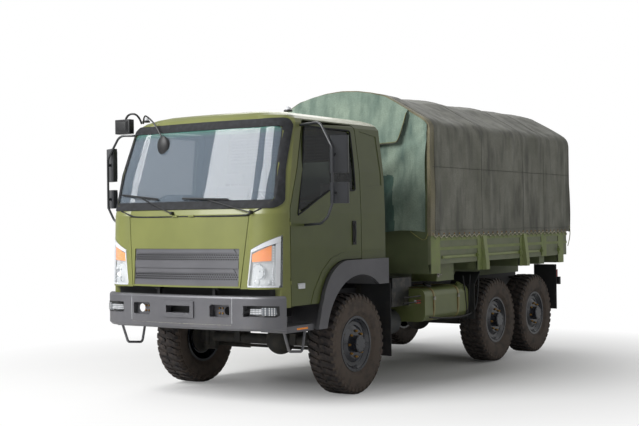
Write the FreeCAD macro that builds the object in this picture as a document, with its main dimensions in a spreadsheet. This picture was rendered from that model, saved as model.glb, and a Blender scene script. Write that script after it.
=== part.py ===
"""Six-wheel military cargo truck: forward-control tilting cab, drop-side bed with a canvas cover.

Millimetres.  +X forward, +Y left, +Z up; the origin is on the ground under the middle of the truck.
"""
import FreeCAD, Part
import math
import os

import Sketcher
from FreeCAD import Placement, Rotation, Vector

doc = FreeCAD.newDocument("cargo_truck")
sheet = doc.addObject("Spreadsheet::Sheet", "Sizes")


class Size:
    """A length that knows its value and the sheet expression that gives it."""

    def __init__(self, value, text=None):
        self.value = float(value)
        self.text = text if text is not None else repr(float(value))

    def __add__(self, other):
        other = as_size(other)
        return Size(self.value + other.value, f"({self.text} + {other.text})")

    def __sub__(self, other):
        other = as_size(other)
        return Size(self.value - other.value, f"({self.text} - {other.text})")

    def __mul__(self, factor):
        factor = as_size(factor)
        return Size(self.value * factor.value, f"({self.text} * {factor.text})")

    def __truediv__(self, factor):
        factor = as_size(factor)
        return Size(self.value / factor.value, f"({self.text} / {factor.text})")

    def __neg__(self):
        return Size(-self.value, f"(-{self.text})")

    def __radd__(self, other):
        return as_size(other) + self

    def __rsub__(self, other):
        return as_size(other) - self

    def __rmul__(self, other):
        return as_size(other) * self

    def __float__(self):
        return self.value


def as_size(value):
    return value if isinstance(value, Size) else Size(value)


class Sizes:
    """The sheet's cells, each under its own name."""


S = Sizes()
SIZE_ROWS = [
    # driving dimensions: name, millimetres
    ("front_axle_x", 2210), ("wheelbase", 3475), ("bogie_spacing", 1250), ("tyre_radius", 545),
    ("tyre_width", 320), ("wheel_offset_y", 1055), ("cab_half_width", 1150), ("bed_half_width", 1210),
    ("bed_top", 3488), ("fit_gap", 0.3), ("shut_gap", 10), ("pivot_x", 1400), ("pivot_z", 1200),
    ("pivot_lug_y", 355), ("pivot_lug_width", 32), ("pivot_lug_radius", 22), ("pivot_pin_radius", 11),
    ("cab_rest_back", 540), ("knuckle_radius", 9), ("pin_radius", 4), ("knuckle_length", 34),
    ("hinge_low_z", 1240), ("hinge_high_z", 1830), ("flap_hinge_y", 110),
    # tyre and wheel
    ("bead_radius", 285), ("rim_width", 254), ("flange_radius", 300), ("flange_thickness", 10),
    ("rim_wall", 12), ("disc_thickness", 14), ("disc_face", 118), ("disc_dish", 30), ("disc_lip", 10),
    ("bolt_land", 22), ("valley_start", 14), ("ring_width", 14), ("ring_proud", 9),
    ("hand_hole_radius", 17), ("hand_hole_circle", 216), ("bolt_circle", 137.5), ("ring_radius", 250),
    ("hub_radius", 92), ("hub_cap", 30), ("hub_rounding", 8), ("hub_reach", 185), ("hub_inboard", 60),
    ("spindle_radius", 45), ("drum_radius", 205), ("drum_web", 30), ("drum_inner_radius", 190),
    ("drum_inboard", 95), ("tread_half_width", 124), ("shoulder_drop", 30), ("shoulder_inset", 22),
    ("flank_height", 40), ("bead_height", 20), ("sidewall_radius", 395),
    # front axle, knuckles and steering
    ("kingpin_y", 880), ("kingpin_radius", 26), ("lug_radius", 52), ("lug_gap", 105),
    ("lug_thickness", 42), ("fork_web_half", 32), ("fork_web_width", 80), ("fork_inset", 120),
    ("fork_lap", 20), ("axle_tube_radius", 60), ("front_diff_y", 180), ("pinion_reach", 90),
    ("pinion_radius", 70), ("diff_radius", 165), ("spring_pad_top", 80), ("spring_pad_half", 70),
    ("spring_pad_drop", 40), ("backplate_offset", 62), ("backplate_thickness", 12),
    ("backplate_radius", 186), ("spindle_length", 235), ("barrel_radius", 46), ("barrel_clearance", 2),
    ("neck_half_width", 40), ("neck_half_height", 60), ("arm_reach", 230), ("arm_thickness", 26),
    ("arm_half_width", 22), ("tie_clearance", 2), ("arm_drop", 60), ("tie_rod_radius", 18),
    ("tie_pin_radius", 11), ("rear_tube_radius", 78), ("drum_clearance", 5), ("stub_clearance", 15),
    ("rear_bowl_extra", 10),
    # frame
    ("rail_outer_y", 430), ("rail_flange", 80), ("rail_wall", 8), ("rail_bottom", 830),
    ("rail_height", 240), ("rail_front_reach", 1440), ("rail_rear_reach", 1025), ("cross_width", 120),
    ("cross_height", 120), ("sill_height", 155), ("bearer_height", 110),
    # springs
    ("spring_width", 80), ("spring_half_length", 650), ("spring_thick", 75), ("hanger_lap", 40),
    ("hanger_drop", 20), ("trunnion_half", 95), ("trunnion_drop", 60), ("bogie_seat_half", 110),
    ("bogie_reach", 70), ("bogie_tip", 140), ("bogie_waist", 20), ("hanger_length", 110),
    ("leaf_end", 16), ("bogie_spring_rise", 70),
    # power unit and shafts
    ("engine_front", 850), ("engine_rear", -550), ("engine_half_width", 330), ("engine_bottom", 790),
    ("engine_top", 1500), ("gearbox_rear", -1080), ("gearbox_half_width", 190), ("gearbox_bottom", 700),
    ("gearbox_top", 1080), ("transfer_front", -1180), ("transfer_rear", -1560),
    ("transfer_bottom", 480), ("transfer_top", 960), ("transfer_half_width", 265), ("shaft_radius", 42),
    ("mount_width", 70), ("mount_height", 40), ("mount_inset", 160), ("link_lap", 5),
    ("link_drop", 120),
    # bumper
    ("bumper_reach", 1540), ("bumper_bottom", 787), ("bumper_top", 1132), ("bumper_shoulder_y", 800),
    ("bumper_shoulder_back", 45), ("bumper_end_y", 1185), ("bumper_return_back", 250),
    ("bumper_wall", 70), ("bumper_edge", 24), ("bumper_corner", 430), ("slot_frame", 46),
    ("slot_frame_proud", 12), ("hook_plate", 12), ("hook_slot_corner", 18), ("hook_eye_y", 575),
    ("hook_eye_z", 980), ("hook_eye_radius", 44), ("hook_slot_inner", 400), ("hook_slot_outer", 640),
    ("hook_slot_bottom", 920), ("hook_slot_top", 1044), ("centre_slot_half", 158),
    ("centre_slot_bottom", 950), ("centre_slot_top", 1024), ("fog_inner", 800), ("fog_outer", 1010),
    ("fog_bottom", 930), ("fog_top", 1040), ("fog_depth", 45), ("corner_radius", 280),
    # cab body
    ("cab_rear_back", 690), ("wall", 45), ("cab_floor_edge", 1010), ("cab_front_edge", 1200),
    ("split_top_x", 824), ("split_low_x", 1165), ("split_knee_z", 2000), ("past_nose", 1700),
    ("past_side", 60), ("front_start", 900), ("lamp_start", 1200), ("pressed_depth", 6),
    ("back_window_half", 430), ("back_window_bottom", 2120), ("back_window_top", 2560),
    ("roof_split_z", 2930), ("quarter_bottom", 1400), ("glass_inset", 12), ("glass_thickness", 8),
    ("foot_floor_rise", 30), ("raised_floor_z", 1420), ("floor_thickness", 40), ("riser_x", 650),
    ("firewall_x", 1285), ("firewall_thickness", 30), ("cowl_shelf_bottom", 1960),
    ("firewall_top", 1985), ("shelf_reach", 200), ("tunnel_half_width", 430), ("tunnel_top", 1640),
    ("tunnel_wall", 28),
    # doors
    ("door_bottom", 1010), ("door_top", 2915), ("door_rear_x", -185), ("door_heel_x", 660),
    ("door_corner", 70), ("window_corner", 60), ("crease_width", 10), ("crease_root", 3),
    ("crease_proud", 5), ("window_front_x", 1035), ("window_sill_front", 1925), ("window_sill_x", 390),
    ("window_sill", 2195), ("window_rear_x", -75), ("window_top", 2850), ("window_top_front_x", 785),
    # wheel arches
    ("arch_radius", 700), ("arch_centre_x", -20), ("liner_thickness", 8), ("liner_front_reach", 687),
    ("liner_rear_reach", 440), ("liner_edge", 12), ("liner_inner_y", 780), ("flare_thickness", 42),
    ("flare_foot", 757), ("flare_top", 1449), ("flare_crown_x", 120), ("flare_knee_x", 630),
    ("flare_knee_z", 1060), ("flare_arc", 520), ("flare_front_x", 733), ("flare_heel_x", 667),
    ("flare_heel_drop", 27), ("arch_rear_reach", 490), ("arch_front_reach", 573), ("arch_opening", 690),
    ("flare_rear_x", -690), ("flare_rear_z", 1165),
    # front face
    ("flap_bottom", 1208), ("flap_top", 1933), ("flap_bottom_half", 716), ("flap_top_half", 798),
    ("flap_gap", 8), ("grille_top", 1602), ("grille_half", 700), ("grille_margin", 18),
    ("hole_margin", 12), ("hole_pitch", 28), ("hole_radius", 7), ("bar_inset", 2),
    ("flap_hinge_x", 1449), ("flap_hinge_z", 1937), ("lamp_inner_bottom_y", 803),
    ("lamp_inner_top_y", 834), ("lamp_outer_y", 1125), ("lamp_bottom", 1215), ("lamp_inner_top", 1592),
    ("lamp_outer_top", 1736), ("screen_bottom", 2045), ("screen_top", 2868),
    ("screen_bottom_half", 1068), ("screen_top_half", 1000), ("screen_corner", 110),
    # interior
    ("seat_front", 200), ("seat_rear", -430), ("seat_half_width", 240), ("seat_centre_y", 745),
    ("seat_height", 330), ("seat_back_top", 1000), ("seat_back_thickness", 150),
    ("dash_front_drop", 360), ("dash_bottom", 1668), ("dash_top", 1990), ("dash_half_width", 1090),
    ("steering_wheel_radius", 225), ("steering_tube_radius", 16), ("steering_wheel_x", 800),
    ("steering_wheel_z", 2060), ("steering_y", 620), ("column_radius", 28), ("column_length", 260),
    # mirrors
    ("mirror_pole_x", 956), ("mirror_pole_y", 1526.5), ("mirror_tube", 13), ("mirror_bend", 110),
    ("mirror_turn", 26), ("mirror_head_back", 93), ("mirror_head_out", 25.5), ("mirror_edge", 22),
    ("mirror_clamp", 16), ("mirror_head_width", 190), ("mirror_head_depth", 70),
    ("mirror_big_bottom", 2350), ("mirror_big_height", 375), ("mirror_small_bottom", 2045),
    ("mirror_small_height", 210),
    # bed
    ("bed_front_back", 1630), ("bed_rear_back", 1125), ("floor_plate", 40), ("board_top", 1800),
    ("board_thickness", 30), ("post_proud", 8), ("headboard_thickness", 35), ("gate_thickness", 35),
    ("gate_gap", 6), ("gate_pin_back", 16), ("gate_pin_drop", 8), ("gate_barrel", 12),
    ("gate_knuckle", 60), ("gate_pin_extra", 2), ("gate_end_gap", 2), ("gate_leaf", 45),
    ("upright_width", 42), ("bead_low_z", 1502), ("bead_high_z", 1618), ("bead_width", 36),
    ("gusset_foot", 70), ("gusset_toe", 80), ("gusset_head", 28), ("gusset_width", 95),
    ("hinge_tube", 18), ("hinge_tube_z", 1415), ("hinge_tube_end", 45), ("gate_hinge_y", 800),
    # cover
    ("cover_thickness", 15), ("cover_proud", 8), ("cover_hem", 1675), ("cover_shoulder_z", 2945),
    ("cover_shoulder_inset", 113), ("cover_shoulder_top", 3105), ("cover_crown_y", 640),
    ("cover_crown_z", 3385), ("shoulder_radius", 200), ("cover_overhang", 110), ("cover_front_lip", 20),
    ("bow_gap", 0.3), ("bow_tube", 28), ("bow_slat", 60), ("slat_inset", 6), ("slat_bottom", 2600),
    ("curtain_thickness", 15), ("curtain_hem", 1730), ("curtain_roll", 70), ("curtain_roll_half", 600),
    # what hangs on the frame
    ("tank_front", -1650), ("tank_length", 1140), ("tank_outer_y", 1120), ("tank_inner_y", 560),
    ("tank_bottom", 645), ("tank_top", 1045), ("tank_corner", 95), ("neck_radius", 48),
    ("neck_length", 135), ("neck_ahead", 200), ("strap_inset", 230), ("strap_width", 60),
    ("toolbox_front", -1970), ("toolbox_length", 450), ("toolbox_inner", 760), ("toolbox_outer", 1110),
    ("toolbox_bottom", 1120), ("battery_front", -1175), ("battery_length", 450), ("battery_outer", 950),
    ("battery_bottom", 850), ("battery_height", 340), ("battery_lid_bottom", 1070),
    ("battery_lid_lap", 25), ("reservoir_radius", 150), ("reservoir_front", -1160),
    ("reservoir_length", 420), ("reservoir_dome", 40), ("hanger_width", 80), ("reservoir_y", 700),
    ("reservoir_z", 650), ("muffler_radius", 160), ("muffler_front", -1000), ("muffler_length", 700),
    ("pipe_radius", 45), ("pipe_length", 300), ("pipe_lap", 20), ("muffler_y", 720), ("muffler_z", 700),
    ("step_front", 1235), ("step_length", 485), ("step_inner", 820), ("step_outer", 1140),
    ("step_bottom", 755), ("step_thickness", 65), ("step_edge", 14), ("step_lap", 60),
    ("loop_inset", 50), ("loop_front_back", 25), ("loop_toe_x", 1123), ("loop_toe_z", 565),
    ("loop_heel_x", 894), ("loop_heel_z", 543), ("loop_rear_ahead", 86), ("loop_bend", 42),
    ("loop_tube", 14), ("step_arm_width", 80), ("flap_plate", 10), ("flap_inner", 800),
    ("flap_outer", 1190), ("front_flap_x", 720), ("front_flap_bottom", 340), ("front_flap_top", 1160),
    ("guard_front_x", 635), ("guard_top_x", 470), ("guard_bottom", 600), ("guard_knee_z", 1040),
    ("guard_top", 1195), ("rear_flap_x", 775), ("rear_flap_bottom", 550), ("rear_flap_top", 1200),
    ("stay_radius", 20), ("stay_lap", 60), ("flap_stay_z", 1000), ("rear_flap_inset", 40),
    ("lamp_width", 210), ("lamp_outer_end", 1060), ("lamp_base", 980), ("lamp_height", 130),
    ("lamp_depth", 60), ("rear_bar_depth", 60), ("rear_bar_half", 1130), ("rear_bar_height", 110),
    # spare wheel and hitch
    ("spare_x", 1200), ("spare_z", 1660), ("spare_y", -50), ("spare_web", 20), ("spare_web_inset", 50),
    ("spare_hole", 110), ("carrier_gap", 12), ("carrier_plate", 170), ("carrier_post", 60),
    ("carrier_half", 200), ("hitch_length", 190), ("hitch_width", 130), ("hitch_height", 110),
    ("hitch_bore", 25), ("hitch_mouth", 50),
]
for row, (alias, millimetres) in enumerate(SIZE_ROWS, start=1):
    sheet.set(f"A{row}", alias)
    sheet.set(f"B{row}", str(millimetres))
    sheet.setAlias(f"B{row}", alias)
    setattr(S, alias, Size(millimetres, f"Sizes.{alias}"))
doc.recompute()

FRONT = S.front_axle_x
MIDDLE = FRONT - S.wheelbase
REAR = MIDDLE - S.bogie_spacing
RAIL_TOP = S.rail_bottom + S.rail_height
WHEEL_Z = S.tyre_radius
ZERO = Size(0)
FOOT_FLOOR = RAIL_TOP + S.foot_floor_rise
BED_BOTTOM = RAIL_TOP + S.sill_height + S.bearer_height
COVER_HALF = S.bed_half_width + S.cover_proud + S.fit_gap + S.cover_thickness


def root(size):
    """Square root, kept as a sheet expression."""
    return Size(math.sqrt(size.value), f"sqrt({size.text})")


# ---------------------------------------------------------------- building blocks
def bind(thing, path, size):
    """Tie a property of an object to the sheet."""
    thing.setExpression(path, as_size(size).text)


def place(thing, x=0, y=0, z=0, rotation=None):
    """Put an object at a place given in sheet sizes, turned by a fixed rotation."""
    if rotation is not None:
        thing.Placement = Placement(Vector(0, 0, 0), rotation)
    for axis, size in zip("xyz", (x, y, z)):
        bind(thing, f"Placement.Base.{axis}", size)
    return thing


def block(label, low, high):
    """A box between two corners."""
    box = doc.addObject("Part::Box", label)
    for side, start, end in zip(("Length", "Width", "Height"), low, high):
        bind(box, side, as_size(end) - start)
    return place(box, *low)


TURN = {
    "X": Rotation(Vector(0, 1, 0), 90),
    "Y": Rotation(Vector(1, 0, 0), -90),
    "Z": Rotation(),
}


def rod(label, start, axis, radius, length):
    """A cylinder that runs from a point along one axis."""
    cylinder = doc.addObject("Part::Cylinder", label)
    bind(cylinder, "Radius", radius)
    bind(cylinder, "Height", length)
    return place(cylinder, *start, rotation=TURN[axis])


def ball(label, centre, radius):
    sphere = doc.addObject("Part::Sphere", label)
    bind(sphere, "Radius", radius)
    return place(sphere, *centre)


def arc_centre(start, end, radius):
    """Centre of the arc from start to end; a negative radius turns clockwise."""
    middle = (start + end) * 0.5
    chord = end - start
    reach = math.sqrt(max(radius * radius - chord.Length ** 2 / 4, 0))
    left = Vector(-chord.y, chord.x, 0).normalize()
    return middle + left * (reach if radius > 0 else -reach)


def draw(sketch, outline):
    """Close an outline of (u, v) or (u, v, radius of the arc that follows) in a sketch."""
    corners = [Vector(float(point[0]), float(point[1]), 0) for point in outline]
    ends = []
    for index, point in enumerate(outline):
        start = corners[index]
        end = corners[(index + 1) % len(corners)]
        if len(point) == 2:
            edge = sketch.addGeometry(Part.LineSegment(start, end), False)
            ends.append((edge, 1, 2))
            continue
        radius = float(point[2])
        centre = arc_centre(start, end, radius)
        circle = Part.Circle(centre, Vector(0, 0, 1), abs(radius))
        first, last = (start, end) if radius > 0 else (end, start)
        angles = [math.atan2(spot.y - centre.y, spot.x - centre.x) for spot in (first, last)]
        if angles[1] < angles[0]:
            angles[1] += 2 * math.pi
        edge = sketch.addGeometry(Part.ArcOfCircle(circle, *angles), False)
        ends.append((edge, 1, 2) if radius > 0 else (edge, 2, 1))
        rule = sketch.addConstraint(Sketcher.Constraint("Radius", edge, abs(radius)))
        bind(sketch, f"Constraints[{rule}]", as_size(point[2]) if radius > 0 else -as_size(point[2]))
    for index, (edge, start, end) in enumerate(ends):
        after = ends[(index + 1) % len(ends)]
        sketch.addConstraint(Sketcher.Constraint("Coincident", edge, end, after[0], after[1]))
        for kind, size in zip(("DistanceX", "DistanceY"), outline[index][:2]):
            rule = sketch.addConstraint(Sketcher.Constraint(kind, edge, start, float(size)))
            bind(sketch, f"Constraints[{rule}]", size)
    return sketch


PLANES = {"XY": "XY_Plane", "XZ": "XZ_Plane", "YZ": "YZ_Plane"}


def sketch_in(body, name, plane, outline, level):
    """A sketch in a body, on one of its own planes shifted along that plane's normal."""
    sketch = body.newObject("Sketcher::SketchObject", name)
    base = [item for item in body.Origin.OriginFeatures if item.Role == PLANES[plane]][0]
    sketch.AttachmentSupport = [(base, "")]
    sketch.MapMode = "FlatFace"
    bind(sketch, "AttachmentOffset.Base.z", level)
    return draw(sketch, outline)


def slab(label, plane, outline, low, high):
    """An outline padded from low to high along the axis its plane leaves out."""
    body = doc.addObject("PartDesign::Body", label)
    level = -as_size(high) if plane == "XZ" else as_size(low)
    sketch = sketch_in(body, f"{label}_outline", plane, outline, level)
    pad = body.newObject("PartDesign::Pad", f"{label}_pad")
    pad.Profile = sketch
    bind(pad, "Length", as_size(high) - low)
    sketch.Visibility = False
    return body


def rounded(body, radius, chosen=None):
    """Round the edges of a padded outline that run along the pad, or the chosen ones by their place in it."""
    doc.recompute()
    pad = body.Tip
    axis = {"XY": 2, "XZ": 1, "YZ": 0}[body_plane(body)]
    along = []
    for number, edge in enumerate(pad.Shape.Edges, start=1):
        ends = [vertex.Point for vertex in edge.Vertexes]
        if len(ends) == 2 and all(abs(ends[0][other] - ends[1][other]) < 0.01 for other in range(3) if other != axis):
            along.append((f"Edge{number}", ends[0]))
    if chosen is not None:
        along = [(name, spot) for name, spot in along if chosen(spot)]
    fillet = body.newObject("PartDesign::Fillet", f"{body.Name}_rounding")
    fillet.Base = (pad, [name for name, spot in along])
    bind(fillet, "Radius", radius)
    body.Tip = fillet
    return body


def body_plane(body):
    """Which origin plane a padded body's sketch lies on."""
    sketch = body.Tip.Profile[0]
    role = sketch.AttachmentSupport[0][0].Role
    return {plane: name for name, plane in PLANES.items()}[role]


def lofted(label, levels):
    """A solid through level outlines, each given with its height."""
    loops = []
    for number, (z, outline) in enumerate(levels):
        sketch = doc.addObject("Sketcher::SketchObject", f"{label}_level_{number}")
        draw(sketch, outline)
        bind(sketch, "Placement.Base.z", z)
        loops.append(sketch)
    loft = doc.addObject("Part::Loft", label)
    loft.Sections = loops
    loft.Solid = True
    loft.Ruled = True
    return loft


def bent_tube(label, points, radius, bend):
    """A round bar along straight runs joined by arcs, through points given as sheet sizes."""
    corners = [Vector(*(float(size) for size in point)) for point in points]
    edges = []
    start = corners[0]
    for before, corner, after in zip(corners, corners[1:], corners[2:]):
        incoming = (corner - before).normalize()
        outgoing = (after - corner).normalize()
        half_turn = incoming.getAngle(outgoing) / 2
        setback = float(bend) * math.tan(half_turn)
        arc_start = corner - incoming * setback
        arc_end = corner + outgoing * setback
        inward = (outgoing - incoming).normalize()
        centre = corner + inward * (float(bend) / math.cos(half_turn))
        middle = centre + (corner - centre).normalize() * float(bend)
        edges.append(Part.LineSegment(start, arc_start).toShape())
        edges.append(Part.Arc(arc_start, middle, arc_end).toShape())
        start = arc_end
    edges.append(Part.LineSegment(start, corners[-1]).toShape())
    path = Part.Wire(edges)
    ring = Part.Wire([Part.makeCircle(float(radius), corners[0], corners[1] - corners[0])])
    bar = doc.addObject("Part::Feature", label)
    bar.Shape = path.makePipeShell([ring], True, False)
    return bar


def turned(label, profile):
    """A profile of (y, radius) points turned about the Y axis."""
    body = doc.addObject("PartDesign::Body", label)
    sketch = sketch_in(body, f"{label}_profile", "YZ", profile, ZERO)
    turning = body.newObject("PartDesign::Revolution", f"{label}_turning")
    turning.Profile = sketch
    turning.ReferenceAxis = (sketch, ["H_Axis"])
    turning.Angle = 360
    return body


def fuse(label, *pieces):
    joined = doc.addObject("Part::MultiFuse", label)
    joined.Shapes = list(pieces)
    joined.Refine = True
    return joined


def cut(label, base, *tools):
    result = doc.addObject("Part::Cut", label)
    result.Base = base
    result.Tool = tools[0] if len(tools) == 1 else fuse(f"{label}_tools", *tools)
    return result


def common(label, first, second):
    result = doc.addObject("Part::Common", label)
    result.Base = first
    result.Tool = second
    return result


def group(label, *pieces):
    """Several solids that share a node and do not touch."""
    together = doc.addObject("Part::Compound", label)
    together.Links = list(pieces)
    return together


def mirrored(label, source):
    """The same piece on the other side of the truck."""
    copy = doc.addObject("Part::Mirroring", label)
    copy.Source = source
    copy.Normal = Vector(0, 1, 0)
    return copy


def pair(label, source):
    """A left piece and its mirror image in one node."""
    return group(label, source, mirrored(f"{label}_mirror", source))


NODES = {}


def node(name, thing):
    """Name an object as one of the truck's sub-parts."""
    thing.Label = name
    NODES[name] = thing
    return thing


# ---------------------------------------------------------------- wheels
def tyre(name, x, y, turn):
    """Tyre: a tread crown, round shoulders, bulged side walls and beads on the rim."""
    half = S.tyre_width / 2
    bead = S.rim_width / 2 - S.flange_thickness
    side = [
        (bead, S.bead_radius + S.fit_gap),
        (bead, S.flange_radius + S.bead_height),
        (half, S.sidewall_radius),
        (half, S.sidewall_radius + S.flank_height),
        (S.tread_half_width + S.shoulder_inset, S.tyre_radius - S.shoulder_drop),
        (S.tread_half_width, S.tyre_radius),
    ]
    profile = side + [(-y_place, radius) for y_place, radius in reversed(side)]
    body = turned(name, profile)
    place(body, x, y, WHEEL_Z, turn)
    return node(name, body)


def wheel(name, x, y, turn):
    """Disc wheel with its hub and brake drum in one piece; outboard is +Y before it is turned."""
    half = S.rim_width / 2
    bead = half - S.flange_thickness
    inner = S.bead_radius - S.rim_wall
    drum_face = S.disc_face - S.disc_thickness - S.disc_dish
    drum_web = drum_face - S.drum_web
    bore_end = S.hub_reach - S.hub_cap
    valley = S.disc_face - S.disc_dish
    profile = [
        (-half, inner),
        (S.disc_face - S.disc_thickness - S.disc_lip, inner),
        (drum_face, S.drum_radius + S.disc_lip * 2),
        (drum_face, S.drum_radius),
        (-S.drum_inboard, S.drum_radius),
        (-S.drum_inboard, S.drum_inner_radius),
        (drum_web, S.drum_inner_radius),
        (drum_web, S.hub_radius),
        (-S.hub_inboard, S.hub_radius),
        (-S.hub_inboard, S.spindle_radius + S.fit_gap),
        (bore_end, S.spindle_radius + S.fit_gap),
        (bore_end, ZERO),
        (S.hub_reach, ZERO),
        (S.hub_reach, S.hub_radius - S.hub_rounding),
        (S.hub_reach - S.hub_rounding, S.hub_radius),
        (S.disc_face, S.hub_radius),
        (S.disc_face, S.bolt_circle + S.bolt_land),
        (valley, S.hand_hole_circle - S.valley_start),
        (valley, S.ring_radius - S.ring_width),
        (valley + S.ring_proud, S.ring_radius - S.ring_width / 2),
        (valley, S.ring_radius),
        (S.disc_face, inner),
        (half, inner),
        (half, S.flange_radius),
        (bead, S.flange_radius),
        (bead, S.bead_radius),
        (-bead, S.bead_radius),
        (-bead, S.flange_radius),
        (-half, S.flange_radius),
    ]
    body = turned(f"{name}_turned", profile)
    hole = body.newObject("Sketcher::SketchObject", f"{name}_hand_hole")
    base = [item for item in body.Origin.OriginFeatures if item.Role == "XZ_Plane"][0]
    hole.AttachmentSupport = [(base, "")]
    hole.MapMode = "FlatFace"
    bind(hole, "AttachmentOffset.Base.z", -S.disc_face - S.disc_lip)
    centre = Vector(0, float(S.hand_hole_circle), 0)
    hole.addGeometry(Part.Circle(centre, Vector(0, 0, 1), float(S.hand_hole_radius)), False)
    hole.addConstraint(Sketcher.Constraint("PointOnObject", 0, 3, -2))
    reach = hole.addConstraint(Sketcher.Constraint("DistanceY", 0, 3, float(S.hand_hole_circle)))
    bind(hole, f"Constraints[{reach}]", S.hand_hole_circle)
    width = hole.addConstraint(Sketcher.Constraint("Radius", 0, float(S.hand_hole_radius)))
    bind(hole, f"Constraints[{width}]", S.hand_hole_radius)
    pocket = body.newObject("PartDesign::Pocket", f"{name}_pocket")
    pocket.Profile = hole
    bind(pocket, "Length", S.disc_dish + S.disc_thickness * 2 + S.disc_lip * 2)
    pocket.Reversed = False
    ring = body.newObject("PartDesign::PolarPattern", f"{name}_ring")
    ring.Originals = [pocket]
    ring.Axis = ([item for item in body.Origin.OriginFeatures if item.Role == "Y_Axis"][0], [""])
    ring.Angle = 360
    ring.Occurrences = 8
    body.Tip = ring
    place(body, x, y, WHEEL_Z, turn)
    return node(name, body)


AXLES = [
    # position name, x of the axle
    ("front", FRONT),
    ("middle", MIDDLE),
    ("rear", REAR),
]
SIDES = [
    # side name, sign of y, turn that puts the disc outboard
    ("left", 1, Rotation()),
    ("right", -1, Rotation(Vector(0, 0, 1), 180)),
]


def wheels():
    for axle, x in AXLES:
        for side, sign, turn in SIDES:
            tyre(f"tyre_{axle}_{side}", x, S.wheel_offset_y * sign, turn)
            wheel(f"wheel_{axle}_{side}", x, S.wheel_offset_y * sign, turn)


# ---------------------------------------------------------------- axles and steering
def side_span(sign, low, high):
    """The two y limits of a piece on one side, from its limits on the left side."""
    low, high = as_size(low), as_size(high)
    return (low, high) if sign > 0 else (-high, -low)


def front_axle():
    """Driven beam: tube, offset gear bowl, spring pads and a forked end for each knuckle."""
    tube_end = S.kingpin_y - S.fork_inset
    nose = S.diff_radius + S.pinion_reach
    pieces = [
        rod("front_tube", (FRONT, -tube_end, WHEEL_Z), "Y", S.axle_tube_radius, tube_end * 2),
        ball("front_bowl", (FRONT, S.front_diff_y, WHEEL_Z), S.diff_radius),
        rod("front_pinion", (FRONT - nose, S.front_diff_y, WHEEL_Z), "X", S.pinion_radius, S.diff_radius),
    ]
    height = S.lug_gap + S.lug_thickness
    for side, sign, turn in SIDES:
        low_y, high_y = side_span(sign, S.rail_outer_y - S.spring_width, S.rail_outer_y)
        pieces.append(block(f"front_pad_{side}", (FRONT - S.spring_pad_half, low_y, WHEEL_Z - S.spring_pad_drop),
                            (FRONT + S.spring_pad_half, high_y, WHEEL_Z + S.spring_pad_top)))
        web_low, web_high = side_span(sign, tube_end - S.fork_lap, tube_end - S.fork_lap + S.fork_web_width)
        pieces.append(block(f"fork_web_{side}", (FRONT - S.fork_web_half, web_low, WHEEL_Z - height),
                            (FRONT + S.fork_web_half, web_high, WHEEL_Z + height)))
        arm_low, arm_high = side_span(sign, tube_end - S.fork_lap, S.kingpin_y)
        for end, z in (("top", WHEEL_Z + S.lug_gap), ("bottom", WHEEL_Z - height)):
            pieces.append(rod(f"lug_{side}_{end}", (FRONT, S.kingpin_y * sign, z), "Z",
                              S.lug_radius, S.lug_thickness))
            pieces.append(block(f"lug_arm_{side}_{end}", (FRONT - S.fork_web_half, arm_low, z),
                                (FRONT + S.fork_web_half, arm_high, z + S.lug_thickness)))
    bores = [
        rod(f"kingpin_bore_{side}", (FRONT, S.kingpin_y * sign, WHEEL_Z - height * 2), "Z",
            S.kingpin_radius + S.fit_gap, height * 4)
        for side, sign, turn in SIDES
    ]
    node("front_axle", cut("front_axle_cut", fuse("front_axle_solid", *pieces), *bores))


def knuckle(side, sign):
    """Steering knuckle: kingpin, spindle, backing plate and a rearward steering arm."""
    y = S.kingpin_y * sign
    height = S.lug_gap + S.lug_thickness
    plate_y, _ = side_span(sign, S.kingpin_y + S.backplate_offset,
                           S.kingpin_y + S.backplate_offset + S.backplate_thickness)
    spindle_y, _ = side_span(sign, S.kingpin_y + S.backplate_offset,
                             S.kingpin_y + S.backplate_offset + S.spindle_length)
    neck_low, neck_high = side_span(sign, S.kingpin_y, S.kingpin_y + S.backplate_offset)
    arm_low, arm_high = side_span(sign, S.kingpin_y - S.arm_half_width, S.kingpin_y + S.arm_half_width)
    arm_z = WHEEL_Z - S.arm_drop - S.arm_thickness
    half_barrel = S.lug_gap - S.barrel_clearance
    pieces = [
        rod(f"kingpin_{side}", (FRONT, y, WHEEL_Z - height), "Z", S.kingpin_radius, height * 2),
        rod(f"knuckle_{side}_barrel", (FRONT, y, WHEEL_Z - half_barrel), "Z", S.barrel_radius, half_barrel * 2),
        block(f"knuckle_{side}_neck", (FRONT - S.neck_half_width, neck_low, WHEEL_Z - S.neck_half_height),
              (FRONT + S.neck_half_width, neck_high, WHEEL_Z + S.neck_half_height)),
        rod(f"backplate_{side}", (FRONT, plate_y, WHEEL_Z), "Y", S.backplate_radius, S.backplate_thickness),
        rod(f"spindle_{side}", (FRONT, spindle_y, WHEEL_Z), "Y", S.spindle_radius, S.spindle_length),
        block(f"steering_arm_{side}", (FRONT - S.arm_reach, arm_low, arm_z),
              (FRONT, arm_high, arm_z + S.arm_thickness)),
        rod(f"steering_eye_{side}", (FRONT - S.arm_reach, y, arm_z), "Z", S.arm_half_width, S.arm_thickness),
    ]
    bore = rod(f"tie_bore_{side}", (FRONT - S.arm_reach, y, arm_z - S.arm_thickness), "Z",
               S.tie_pin_radius + S.fit_gap, S.arm_thickness * 3)
    node(f"knuckle_{side}", cut(f"knuckle_{side}_cut", fuse(f"knuckle_{side}_solid", *pieces), bore))


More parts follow.
